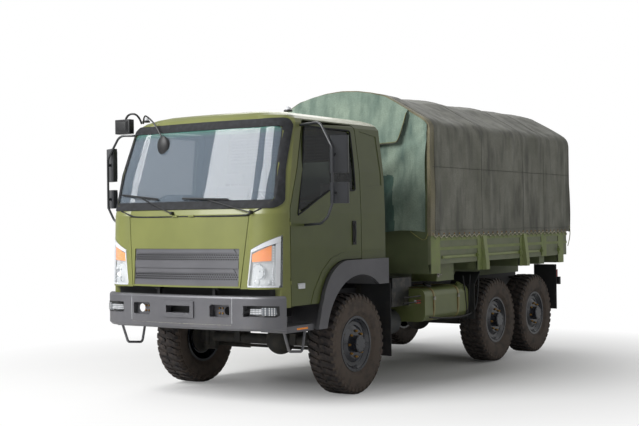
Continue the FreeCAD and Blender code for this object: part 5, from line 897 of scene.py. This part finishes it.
# ---------------------------------------------------------------- cover, curtains and their lacing
# half of the cover's section, from the hem up the wall and over the shoulder to the ridge
COVER_HALF_SECTION = [(1.232, 1.676), (1.233, 2.10), (1.233, 2.55), (1.233, 2.945), (1.223, 2.996),
                      (1.199, 3.042), (1.163, 3.078), (1.121, 3.107), (0.98, 3.190), (0.80, 3.298),
                      (0.64, 3.388), (0.44, 3.442), (0.24, 3.475), (0.0, 3.488)]
COVER_SECTION = COVER_HALF_SECTION + [(-y, z) for y, z in reversed(COVER_HALF_SECTION[:-1])]
BOWS = (0.455, -0.78, -2.06, -2.79, -3.41)
COVER_FRONT, COVER_REAR = 0.598, -3.745
COVER_LENGTH = COVER_FRONT - COVER_REAR
KHAKI_EDGE = COVER_FRONT - 0.115
HEM_HEIGHT = COVER_HALF_SECTION[0][1]
# a height within the cover that every part of its section looks away from
SECTION_MIDDLE = 2.3
CANVAS_THICKNESS = 0.003
LACE_PITCH = 0.136
# the rolled-up rear curtain's middle, and the rings of cord round it
ROLL_X, ROLL_HEIGHT = BOWS[-1], 3.282
TIE_RADIUS = 0.071
CURTAIN_FOOT = 1.735
# half of the flap's breadth
FLAP_REACH = 0.955


def woven(name, columns, rows, place):
    """A grid of cloth whose every point is put where place(u, v) says, u and v from 0 to 1."""
    deselect()
    bpy.ops.mesh.primitive_grid_add(x_subdivisions=columns, y_subdivisions=rows, size=1, location=(0, 0, 0))
    piece = bpy.context.object
    piece.name = name
    for vertex in piece.data.vertices:
        vertex.co = place(vertex.co.x + 0.5, vertex.co.y + 0.5)
    return piece


def held(value, low=0.0, high=1.0):
    """A value kept within two limits."""
    return max(low, min(high, value))


def along(line, share):
    """The point at this share of a line's length, and the unit normal to its left."""
    spans = [math.dist(first, second) for first, second in zip(line, line[1:])]
    rest = share * sum(spans)
    for number, span in enumerate(spans):
        if rest <= span or number == len(spans) - 1:
            first, second = Vector(line[number]), Vector(line[number + 1])
            run = (second - first) / span
            return first + run * min(rest, span), Vector((run.y, -run.x))
        rest -= span


def ripple(x, y, z, size):
    """Smooth noise from -1 to 1 whose waves are about this long."""
    return noise.noise(Vector((x / size, y / size, z / size)))


def slack(x):
    """How far this station is from the nearest bows: 0 over a bow, 1 half way between two."""
    for ahead, behind in zip(BOWS, BOWS[1:]):
        if behind <= x <= ahead:
            return math.sin(math.pi * (ahead - x) / (ahead - behind)) ** 2 * min(1, (ahead - behind) / 0.9)
    return 0.0


def cover_point(x, share, proud=0.0):
    """A point of the cover: at this station and this share of its section, sunk between bows and rippled."""
    spot, outward = along(COVER_SECTION, share)
    if outward.dot(Vector((spot.x, spot.y - SECTION_MIDDLE))) < 0:
        outward = -outward
    top = held((spot.y - 3.0) / 0.3)
    wall = held((spot.y - 1.68) / 0.3) * (1 - top)
    ridge = max(0.0, 1 - abs(spot.x) / 0.12)
    hem = max(0.0, 1 - (spot.y - HEM_HEIGHT) / 0.12)
    fall = -slack(x) * (0.010 * wall + (0.030 - 0.022 * ridge) * top)
    run = ripple(x, math.copysign(3.0, spot.x), spot.y * 0.22, 0.16) * 0.024 * wall
    run += ripple(x, math.copysign(7.0, spot.x), spot.y * 0.5, 0.38) * 0.018 * wall
    run += ripple(x * 1.3, spot.x * 0.5, spot.y, 0.22) * 0.010 * top
    scallop = math.sin(x * math.tau / LACE_PITCH) * 0.005 * hem
    depth = max(-0.008 - 0.03 * top, fall + held(run, -0.010, 0.016) * (1 - 0.6 * hem)) + proud
    shrug = 0.014 * math.exp(-((spot.y - 3.02) / 0.06) ** 2) * ripple(x, 11, 0, 0.3)
    return Vector((x, spot.x + outward.x * (depth + shrug), spot.y + outward.y * depth + scallop))


def lengthwise(share, steps, part, proud):
    """A line along the cover at this share of its section."""
    return [cover_point(COVER_REAR + 0.01 + COVER_LENGTH * part * step / steps, share, proud)
            for step in range(steps + 1)]


def cover():
    """Canvas stretched over the bows: it falls in between them, and its walls hang in long upright folds."""
    piece = woven("cover_canvas", 220, 150, lambda u, v: cover_point(COVER_REAR + u * COVER_LENGTH, v))
    edit(piece, every_face, (bpy.ops.mesh.normals_make_consistent, {"inside": False}))
    paint(piece, COVER_CANVAS, KHAKI_CANVAS)
    for face in piece.data.polygons:
        face.material_index = int(face.center.x > KHAKI_EDGE)
    modify(piece, "SOLIDIFY", thickness=CANVAS_THICKNESS, offset=-1)
    smooth(piece, 60)
    trims = []
    for side, share in (("left", 0.155), ("right", 0.845)):
        seam = piping(f"cover_wall_seam_{side}", lengthwise(share, 40, 0.98, 0.0015), 0.0035)
        trims.append(paint(seam, COVER_DARK))
    for number, x in enumerate((KHAKI_EDGE, -0.78, -2.06, -2.79, COVER_REAR + 0.03)):
        line = [cover_point(x, 0.004 + 0.992 * step / 60, 0.001) for step in range(61)]
        trims.append(paint(piping(f"cover_upright_seam_{number}", line, 0.003), COVER_DARK))
    for side, share in (("left", 0.012), ("right", 0.988)):
        hem = piping(f"cover_hem_{side}", lengthwise(share, 80, 0.995, 0.002), 0.005)
        trims.append(paint(hem, COVER_CANVAS))
    lip = woven("cover_front_lip", 150, 3,
                lambda u, v: cover_point(COVER_FRONT - 0.004, u, -0.002 - 0.045 * v))
    trims.append(paint(thicken(lip, CANVAS_THICKNESS, 60), KHAKI_CANVAS))
    for trim in trims + [piece]:
        ride(trim, "chassis")
    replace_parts(piece, "cover")


def cover_height(y):
    """The height of the cover's section at this distance from the middle."""
    for (y_out, z_out), (y_in, z_in) in zip(COVER_HALF_SECTION, COVER_HALF_SECTION[1:]):
        if y_in <= y <= y_out and y_out > y_in:
            return z_out + (z_in - z_out) * (y_out - y) / (y_out - y_in)
    raise ValueError(f"the cover does not reach out to {y}")


def curtain_point(u, v):
    """The front curtain: gathered at its upper corners, with folds that run down and inwards from them."""
    y = (u * 2 - 1) * (1.150 + 0.055 * v ** 1.5)
    z = CURTAIN_FOOT + v * (max(cover_height(abs(y)), 2.96) - 0.022 - CURTAIN_FOOT)
    corner = Vector((math.copysign(0.98, y), 2.98))
    ray = math.atan2(corner.y - z, abs(corner.x) - abs(y) + 0.35)
    reach = min(1.0, (corner - Vector((y, z))).length / 0.9)
    folds = math.sin(ray * 13 + 3 * ripple(y, 0, z, 0.5)) * 0.032 * reach
    folds += ripple(y, 5, z * 0.4, 0.16) * 0.022
    return Vector((0.612 + max(-0.026, folds) * (1 - 0.8 * v ** 6), y, z + 0.012 * math.sin(y * 9) * (1 - v)))


def flap_point(u, v):
    """The rolled-down upper flap, whose lower edge climbs in a curve to the cover's shoulder."""
    y = (u * 2 - 1) * FLAP_REACH
    side = abs(y) / FLAP_REACH
    low = 2.76 + 0.05 * side + 0.34 * max(0.0, (side - 0.86) / 0.14) ** 1.6
    z = low + v * (cover_height(abs(y)) - 0.012 - low)
    folds = math.sin(y * 17 + 4 * ripple(y, 3, z, 0.5)) * 0.010 * (1 - v)
    folds += ripple(y, 2, z, 0.25) * 0.022
    return Vector((0.668 - 0.056 * v ** 2 + folds * (1 - v ** 3), y, z))


def roll_point(u, v):
    """The rear curtain rolled up tight under the last bow: a flat spiral."""
    turn = v * 6.5 * math.tau
    radius = 0.018 + 0.048 * v + 0.0015 * math.sin(u * 31)
    x, z = ROLL_X + radius * math.cos(turn), ROLL_HEIGHT + radius * math.sin(turn)
    return Vector((x, -0.598 + 1.196 * u, z))


def curtains():
    """The front curtain with its flap, bound and corded along its edge, and the rear curtain tied up."""
    front = paint(woven("front_curtain", 170, 110, curtain_point), CURTAIN_CANVAS, CURTAIN_SHADE)
    for face in front.data.polygons:
        spot = face.center
        # painted shade: the curtain's lower middle takes the darker teal copy
        face.material_index = int(abs(spot.y) < 0.76 - (spot.z - 1.73) * 0.06 and spot.z < 2.42)
    thicken(front)
    flap = thicken(paint(woven("front_curtain_flap", 140, 40, flap_point), CURTAIN_CANVAS))
    edge = [flap_point(step / 60, 0) + Vector((0.002, 0, 0)) for step in range(61)]
    binding = paint(piping("curtain_flap_binding", edge, 0.006), COVER_DARK)
    beside = [spot + Vector((0.006, 0, 0.012)) for spot in edge]
    cord = paint(piping("curtain_flap_cord", beside, 0.003), NYLON)
    for piece in (front, flap, binding, cord):
        ride(piece, "chassis")
    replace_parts(front, "curtains")
    roll = thicken(woven("rear_curtain_roll", 40, 200, roll_point))
    for number, y in enumerate((-0.42, 0.0, 0.42)):
        turns = [step * math.tau / 12 for step in range(12)]
        ring = [(ROLL_X + TIE_RADIUS * math.cos(turn), y, ROLL_HEIGHT + TIE_RADIUS * math.sin(turn))
                for turn in turns]
        dress(piping(f"roll_tie_{number}", ring, 0.004, loop=True), HEMP, "chassis")
    dress(roll, CURTAIN_CANVAS, "chassis")
    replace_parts(roll, "curtains")


def lacing():
    """Cord laced tight between the cover's hem and the hooks on the boards, hook after hook."""
    count = int((COVER_LENGTH - 0.12) / (LACE_PITCH / 2))
    for side, sign in SIDES.items():
        points, hooks, eyelets = [], [], []
        for number in range(count):
            x = COVER_FRONT - 0.06 - number * LACE_PITCH / 2
            if number % 2:
                points.append((x, sign * 1.2295, 1.640))
                line = mirrored(sign, (x, 1.205, 1.652), (x, 1.235, 1.648), (x, 1.236, 1.634),
                                (x, 1.222, 1.630))
                hooks.append(piping("hook", line, 0.0025))
            else:
                points.append((x, sign * 1.2385, 1.702))
                ring = [(-0.002, 0.006), (0.003, 0.006), (0.003, 0.011), (-0.002, 0.011)]
                eyelets.append(turned("eyelet", (x, sign * 1.233, 1.700), SIDEWAYS, ring, 10))
        corner = mirrored(sign, (0.585, 1.20, 1.75), (0.600, 1.19, 1.69), (0.592, 1.15, 1.62),
                          (0.588, 1.05, 1.66), (0.590, 0.95, 1.735))
        drop = mirrored(sign, (-3.70, 1.238, 1.76), (-3.715, 1.243, 1.70), (-3.70, 1.245, 1.60),
                        (-3.69, 1.225, 1.50), (-3.692, 1.212, 1.46))
        dress(piping(f"hem_lacing_{side}", points, 0.0056), HEMP, "chassis")
        dress(joined(f"lacing_hooks_{side}", hooks), ZINC, "chassis")
        dress(joined(f"hem_eyelets_{side}", eyelets), BRASS, "chassis")
        dress(piping(f"curtain_tie_{side}", corner, 0.005), NYLON, "chassis")
        dress(piping(f"rear_corner_tie_{side}", drop, 0.006), NYLON, "chassis")


cover()
curtains()
lacing()


# ---------------------------------------------------------------- seats
# a seat's middle, out from the truck's middle
SEAT_MIDDLE = 0.745


def cushion(name, low, high, crown, channels, face_axis):
    """A pad whose face is crowned, whose sides draw in between its corners, and whose sewn channels sink."""
    piece = start_box(name, low, high)
    modify(piece, "BEVEL", width=0.032, segments=3)
    edit(piece, every_face, (bpy.ops.mesh.subdivide, {"number_cuts": 5}))
    middle = [(a + b) / 2 for a, b in zip(low, high)]
    half = [(b - a) / 2 for a, b in zip(low, high)]
    others = [axis for axis in range(3) if axis != face_axis]
    for vertex in piece.data.vertices:
        local = [(vertex.co[axis] - middle[axis]) / half[axis] for axis in range(3)]
        dome = (1 - local[others[0]] ** 2) * (1 - local[others[1]] ** 2)
        groove = sum(math.exp(-((vertex.co[1] - middle[1] - channel) / 0.010) ** 2) for channel in channels)
        vertex.co[face_axis] += local[face_axis] * (crown * dome - 0.008 * min(1, groove))
        for axis, other in (others, reversed(others)):
            draw = 1 - abs(local[other]) ** 2
            vertex.co[axis] -= math.copysign(0.007 * draw * abs(local[axis]) ** 6, local[axis])
        vertex.co[face_axis] += 0.003 * ripple(*vertex.co, 0.09)
    modify(piece, "SUBSURF", levels=1, render_levels=1)
    dress(smooth(piece, 60), SEAT_CLOTH, "cab")
    return piece


def wrap(name, pad):
    """Creased film over the front of a pad, a little off its cloth."""
    film = placed_copy(pad, name, Matrix.Identity(4))
    for key in list(film.keys()):
        del film[key]
    centre = sum((vertex.co for vertex in film.data.vertices), Vector()) / len(film.data.vertices)
    for vertex in film.data.vertices:
        away = (vertex.co - centre).normalized()
        crease = abs(ripple(vertex.co.x, vertex.co.y * 1.5, vertex.co.z * 0.5, 0.05)) * 0.016
        vertex.co += away * (0.006 + crease)
    edit(film, lambda middle, normal: normal.x < 0.15, (bpy.ops.mesh.delete, {"type": "FACE"}))
    modify(film, "SOLIDIFY", thickness=0.0008, offset=0)
    dress(film, WRAPPING, "cab")


def seats():
    """Two seats, each a padded squab, back and headrest, still in their clear wrapping."""
    for side, sign in SIDES.items():
        y = SEAT_MIDDLE * sign
        base = start_box(f"seat_base_{side}", (1.86, y - 0.20, 1.462), (2.36, y + 0.20, 1.63))
        edit(base, facing(z=1), inset(0.03), extrude((0, 0, 0.025)))
        edit(base, both_ends(1), inset(0.03, -0.012))
        dress(round_edges(base, 0.008), BLACK_PLASTIC, "cab")
        squab = cushion(f"seat_squab_{side}", (1.915, y - 0.232, 1.640), (2.400, y + 0.232, 1.770), 0.016,
                        (-0.13, 0.13), 2)
        back = cushion(f"seat_back_{side}", (1.785, y - 0.228, 1.72), (1.905, y + 0.228, 2.300), 0.016,
                       (-0.12, 0.12), 0)
        rest = cushion(f"seat_headrest_{side}", (1.795, y - 0.12, 2.335), (1.885, y + 0.12, 2.452), 0.008,
                       (), 0)
        stems = [start_rod("stem", (1.84, y + offset, 2.27), (1.84, y + offset, 2.36), 0.007, 12)
                 for offset in (-0.06, 0.06)]
        stem = edit(joined(f"headrest_stems_{side}", stems), both_ends(2), inset(0.002))
        dress(stem, CHROME, "cab")
        for number, pad in enumerate((back, rest)):
            wrap(f"seat_wrapping_{number}_{side}", pad)
        for piece in (squab, back, rest):
            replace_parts(piece, "seats")


seats()


# ---------------------------------------------------------------- cab trim, mirrors, marker lamps, handles
# the turn of the door mirrors towards the driver, in degrees
MIRROR_TURN = 26
OVAL_MIRROR = (3.385, -0.50, 2.70)
# how much taller than wide the oval mirror is
OVAL_STRETCH = 1.28
GRILLE_ROWS = (1.294, 1.316, 1.338, 1.493, 1.515, 1.537)
HOLES_A_ROW, HOLE_PITCH, HOLE_HALF_WIDTH = 49, 0.028, 0.0095
WINDOW_LINE = [(3.236, 1.940), (3.12, 2.40), (3.005, 2.800), (2.985, 2.846), (2.93, 2.850), (2.60, 2.850),
               (2.19, 2.850), (2.140, 2.846), (2.135, 2.80), (2.135, 2.50), (2.135, 2.245), (2.140, 2.200),
               (2.19, 2.195), (2.56, 2.195), (2.63, 2.192), (2.70, 2.164), (3.20, 1.944), (3.236, 1.934)]


def inner_trim():
    """Dark cloth over the cab's back wall, quilted by shallow sewn squares, and beside its window."""
    quilted = bpy.ops.mesh.inset, {"thickness": 0.008, "depth": 0.006, "use_individual": True}
    back = start_box("cab_back_trim", (1.566, -1.02, 1.50), (1.572, 1.02, 2.10))
    upper = start_box("cab_back_trim_upper", (1.566, -1.00, 2.58), (1.572, 1.00, 2.88))
    for piece in (back, upper):
        edit(piece, every_face, (bpy.ops.mesh.subdivide, {"number_cuts": 7}))
        edit(piece, facing(x=1), quilted)
        dress(smooth(piece, 80), SEAT_CLOTH, "cab")
    for side, sign in SIDES.items():
        panel = start_box(f"cab_back_pillar_trim_{side}", (1.566, sign * 0.45, 2.11),
                          (1.571, sign * 1.01, 2.57))
        edit(panel, facing(x=1), inset(0.02, 0.004), inset(0.01, -0.002))
        dress(panel, SEAT_CLOTH, "cab")


def mirror_glass():
    """Silvered glass in the rear face of each mirror head, which is turned a little towards the driver."""
    for side, sign in SIDES.items():
        turn = Matrix.Rotation(math.radians(MIRROR_TURN * sign), 4, "Z")
        for number, (bottom, top) in enumerate(((2.378, 2.697), (2.068, 2.232))):
            pane = start_box(f"mirror_glass_{number}_{side}", (-0.0385, -0.076, bottom),
                             (-0.0335, 0.076, top))
            round_edges(edit(pane, facing(x=-1), inset(0.006, 0.0015)), 0.0015)
            pane.matrix_world = Matrix.Translation((3.073, sign * 1.552, 0)) @ turn
            dress(settle(pane), CHROME, f"{side}_door")


def oval(name, profile):
    """A disc spun from a half section of (along, radius) points and drawn out upwards."""
    piece = turned(name, OVAL_MIRROR, FORWARD, profile, 40)
    for vertex in piece.data.vertices:
        vertex.co.z = OVAL_MIRROR[2] + (vertex.co.z - OVAL_MIRROR[2]) * OVAL_STRETCH
    return piece


def close_view_mirror():
    """The round-backed mirror over the right front corner, and the oval one on its arm before the screen."""
    arm = piping("corner_mirror_arm", [(3.215, -0.96, 2.975), (3.27, -0.95, 3.06), (3.31, -1.02, 3.09),
                                       (3.31, -1.11, 3.05), (3.305, -1.13, 2.97)], 0.012)
    loop = piping("corner_mirror_loop", [(3.22, -0.93, 2.975), (3.29, -0.86, 3.06), (3.33, -0.76, 3.03),
                                         (3.36, -0.62, 2.93), (3.38, -0.53, 2.80)], 0.009)
    head = start_box("corner_mirror_head", (3.255, -1.25, 2.865), (3.335, -1.035, 3.025))
    narrowed = bpy.ops.transform.resize, {"value": (1, 0.75, 0.7), "center_override": (3.34, -1.14, 2.945)}
    edit(head, facing(x=1), inset(0.012), extrude((0.028, 0, 0.004)), narrowed)
    edit(head, facing(x=-1), inset(0.008, -0.004))
    round_edges(head, 0.012, 3)
    back = oval("oval_mirror_head", [(0.030, 0.0), (0.027, 0.03), (0.018, 0.06), (0.004, 0.080),
                                     (-0.006, 0.083), (-0.010, 0.078), (-0.006, 0.074), (-0.006, 0.0)])
    face = oval("oval_mirror_glass", [(-0.0075, 0.0), (-0.0078, 0.05), (-0.007, 0.073), (-0.0065, 0.073)])
    dress(smooth(joined("corner_mirror", [arm, loop, head, back])), BLACK_PLASTIC, "cab")
    dress(face, CHROME, "cab")


def marker_lamps():
    """A domed lamp over each front corner of the roof, and a small white one low on each door."""
    for side, sign in SIDES.items():
        base = turned(f"roof_marker_base_{side}", (3.13, sign * 0.97, 2.995), UPRIGHT,
                      [(0.0, 0.0), (0.0, 0.045), (0.016, 0.043), (0.020, 0.034), (0.020, 0.0)], 32)
        dome = turned(f"roof_marker_dome_{side}", (3.13, sign * 0.97, 3.012), UPRIGHT,
                      [(0.0, 0.034), (0.018, 0.031), (0.034, 0.018), (0.038, 0.0)], 32)
        dress(base, BLACK_PLASTIC, "cab")
        dress(dome, WHITE_PLASTIC, "cab")
        y = from_beside(3.20, 1.215, sign).y
        marker = start_box(f"side_marker_{side}", (3.145, y, 1.190), (3.255, y + sign * 0.018, 1.245))
        edit(marker, facing(y=sign), inset(0.010), extrude((0, sign * 0.006, 0)), inset(0.004, -0.002))
        dress(round_edges(marker, 0.005), WHITE_PLASTIC, f"{side}_door")


def door_trim():
    """Each door's pull handle in its shell and its window rubber, and the reflector on the step below."""
    for side, sign in SIDES.items():
        y = from_beside(2.18, 1.74, sign).y
        shell = start_box(f"door_pull_{side}", (2.145, y, 1.61), (2.215, y + sign * 0.012, 1.87))
        edit(shell, facing(y=sign), inset(0.010), inset(0.004, -0.008))
        line = [(2.18, y + sign * out, z) for out, z in (
            (0.006, 1.64), (0.022, 1.665), (0.022, 1.815), (0.006, 1.84))]
        bar = piping("bar", line, 0.010)
        pull = joined(f"door_pull_{side}", [round_edges(shell, 0.005), bar])
        dress(pull, BLACK_PLASTIC, f"{side}_door")
        seal = [(x, from_beside(x, z, sign).y + sign * 0.002, z) for x, z in WINDOW_LINE]
        dress(piping(f"window_rubber_{side}", seal, 0.009), SEAL_RUBBER, f"{side}_door")
        ends = mirrored(sign, (3.07, 1.128, 0.785), (3.26, 1.128, 0.785))
        reflector = start_rod(f"step_reflector_{side}", *ends, 0.016, 8)
        edit(reflector, both_ends(0), inset(0.004, 0.002))
        dress(reflector, AMBER_REFLECTOR, "chassis")


def grille_hole_shade():
    """Black rings round every hole of the pierced grille: painted shade in and around the holes."""
    spots = []
    for row, z in enumerate(GRILLE_ROWS):
        shift = HOLE_PITCH / 4 if row % 2 else -HOLE_PITCH / 4
        for number in range(HOLES_A_ROW):
            y = (number - HOLES_A_ROW // 2) * HOLE_PITCH + shift
            spots.append((from_ahead(CAB_SKIN, y + HOLE_HALF_WIDTH, z).x, y, z))
    x, y, z = spots[0]
    rim = turned("grille_hole_shade_rings", (x + 0.0006, y, z), FORWARD,
                 [(0.0, 0.0062), (0.0, 0.0105), (-0.0012, 0.0105), (-0.0012, 0.0062)], 8)
    copies = [placed_copy(rim, "rim", Matrix.Translation(Vector(spot) - Vector(spots[0])))
              for spot in spots[1:]]
    dress(joined("grille_hole_shade_rings", [rim, *copies]), CHASSIS_BLACK, "flap")


inner_trim()
mirror_glass()
close_view_mirror()
marker_lamps()
door_trim()


# ---------------------------------------------------------------- what hangs below the bed
def tank_fittings():
    """Two tan webbing-lined straps round the fuel tank, its filler cap and a red and white drain tag."""
    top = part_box("fuel_tank")[1][2]
    outline = [(0.50, top - 0.042), (0.78, top - 0.041), (1.02, top - 0.042), (1.098, top - 0.060),
               (1.124, top - 0.13), (1.125, 0.86), (1.124, 0.75), (1.100, 0.672), (1.03, 0.643),
               (0.80, 0.641), (0.55, 0.642)]
    # the webbing is broader than the steel that lies on it
    layers = (("web", STRAP_WEB, 1.35, 0.0), ("steel", STRAP_STEEL, 0.8, 0.003))
    for number, x in enumerate((0.335, -0.300)):
        for layer, material, spread, proud in layers:
            runs = [piping("run", [(x + offset * spread, y + proud, z) for y, z in outline], 0.0055)
                    for offset in (-0.012, -0.004, 0.004, 0.012)]
            dress(joined(f"tank_strap_{number}_{layer}", runs), material, "chassis")
        buckle = start_box(f"tank_buckle_{number}", (x - 0.022, 1.120, 0.90), (x + 0.022, 1.140, 0.945))
        edit(buckle, facing(y=1), inset(0.008, -0.006))
        dress(round_edges(buckle, 0.004), ZINC, "chassis")
    cap = turned("tank_filler_cap", (0.335, 1.02, 1.075), (0, 0.42, 0.907),
                 [(0.0, 0.0), (0.0, 0.052), (0.012, 0.055), (0.022, 0.053), (0.028, 0.040), (0.028, 0.0)], 32)
    dress(cap, BLACK_PLASTIC, "chassis")
    tag = start_box("tank_drain_tag", (0.60, 1.05, 0.875), (0.68, 1.085, 0.915))
    edit(tag, facing(x=1), inset(0.008), extrude((0.045, 0.004, 0.016)))
    paint(round_edges(tag, 0.006), RED_PLASTIC, WHITE_PLASTIC)
    for face in tag.data.polygons:
        face.material_index = int(face.center.x > 0.685)
    ride(tag, "chassis")


def rods():
    """Thin stays below the bed: the rail beside the tank, a V stay to the guards, two battery box bars."""
    lines = [([(0.50, 1.15, 0.70), (0.10, 1.152, 0.655), (-0.45, 1.152, 0.650), (-0.72, 1.150, 0.70),
               (-0.80, 1.150, 0.90), (-0.83, 1.150, 1.20)], 0.011),
             ([(-0.64, 1.12, 1.16), (-0.62, 1.12, 0.95), (-0.55, 1.12, 0.62)], 0.010),
             ([(-0.44, 1.12, 1.16), (-0.50, 1.12, 0.95), (-0.55, 1.12, 0.62)], 0.010)]
    lines += [([(0.62, 1.09, z), (0.80, 1.118, z), (1.02, 1.09, z)], 0.008) for z in (0.90, 0.965)]
    piece = joined("under_bed_rods", [piping("rod", line, radius) for line, radius in lines])
    dress(smooth(piece), CHASSIS_BLACK, "chassis")


def box_fittings():
    """A T handle in its dished plate on the toolbox."""
    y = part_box("side_boxes")[1][1]
    x, z, out = 0.20, 1.20, 0.026
    plate = turned("toolbox_lock_plate", (x, y - 0.002, z), SIDEWAYS,
                   [(0.0, 0.0), (0.0, 0.028), (0.004, 0.034), (0.008, 0.034), (0.008, 0.030), (0.004, 0.02),
                    (0.004, 0.0)], 24)
    stem = start_rod("stem", (x, y, z), (x, y + out, z), 0.006, 12)
    bar = start_rod("bar", (x - 0.035, y + out, z), (x + 0.035, y + out, z), 0.006, 12)
    dress(round_edges(joined("toolbox_lock", [plate, stem, bar]), 0.001, 1), ZINC, "chassis")


def latches():
    """Cast latches at the rear end of each hinge tube on the drop sides, with their drop pins."""
    for side, sign in SIDES.items():
        y = sign * 1.236
        pieces = []
        for x in (-0.60, -1.90, -2.63, -3.24):
            body = start_box("latch", (x - 0.035, y, 1.395), (x + 0.020, y + sign * 0.030, 1.445))
            edit(body, facing(y=sign), inset(0.010), extrude((0, sign * 0.010, 0)))
            pin = start_rod("pin", (x, y + sign * 0.020, 1.36), (x, y + sign * 0.020, 1.47), 0.007, 12)
            pieces += [round_edges(body, 0.004), edit(pin, both_ends(2), inset(0.002, 0.002))]
        dress(joined(f"board_latches_{side}", pieces), POST_ENAMEL, "chassis")


grille_hole_shade()
tank_fittings()
rods()
box_fittings()
latches()


# ---------------------------------------------------------------- light, floor and background
# name, place, the point it is aimed at, size and power of each light
LIGHTS = (("key", (11.0, -3.0, 8.0), (1.5, 0, 1.2), 6.0, 1500),
          ("side", (1.0, 11.0, 6.5), (-0.5, 0, 1.2), 8.0, 60),
          ("back", (-9.0, -6.0, 8.0), (0, 0, 1.5), 7.0, 450))


def studio():
    """Soft light from ahead, a weak fill on the side, and a white surround that only the eye sees."""
    for name, place, aim, size, power in LIGHTS:
        bpy.ops.object.light_add(type="AREA", location=place)
        light = bpy.context.object
        light.name = name
        light.data.size = size
        light.data.energy = power
        light.rotation_euler = (Vector(aim) - Vector(place)).to_track_quat("-Z", "Y").to_euler()
    world = bpy.data.worlds.new("studio")
    bpy.context.scene.world = world
    world.use_nodes = True
    tree = world.node_tree
    rays = add(tree, "ShaderNodeLightPath").outputs
    direct = add(tree, MATHS, rays["Is Camera Ray"], rays["Is Transmission Ray"], operation="MAXIMUM")
    glossy = add(tree, MATHS, rays["Is Glossy Ray"], 0.45, operation="MULTIPLY")
    seen = add(tree, MATHS, direct, glossy, operation="MAXIMUM")
    feed(tree, tree.nodes["Background"], "Strength", add(tree, SPAN, seen, 0, 1, 0.25, 1.0))
    feed(tree, tree.nodes["Background"], "Color", "ffffff")
    bpy.context.scene.view_settings.view_transform = "Standard"


def studio_floor():
    """A pale floor that takes the truck's shadow near it and turns plain white to the eye further off."""
    bpy.ops.mesh.primitive_plane_add(size=120)
    floor = bpy.context.object
    floor.name = "floor"
    material, tree, shader, place = finish("pale_studio_floor", 0.9)
    speckle = patches(tree, place, 2500, 0.3, 0.7)
    feed(tree, shader, "Base Color", add(tree, MIX, speckle, "e9e9e8", "efefee"))
    glow = add(tree, "ShaderNodeEmission", "ffffff", 1.0)
    far = add(tree, "ShaderNodeVectorMath", place, operation="LENGTH").outputs["Value"]
    distance = add(tree, SPAN, far, 1.5, 6.0)
    camera_ray = add(tree, "ShaderNodeLightPath").outputs["Is Camera Ray"]
    shown = add(tree, MATHS, camera_ray, distance, operation="MULTIPLY")
    mixed = add(tree, "ShaderNodeMixShader", shown, shader, glow)
    feed(tree, tree.nodes["Material Output"], "Surface", mixed)
    floor.data.materials.append(material)


for skin in (CAB_SKIN, BUMPER_SKIN):
    bpy.data.objects.remove(skin)
studio()
studio_floor()
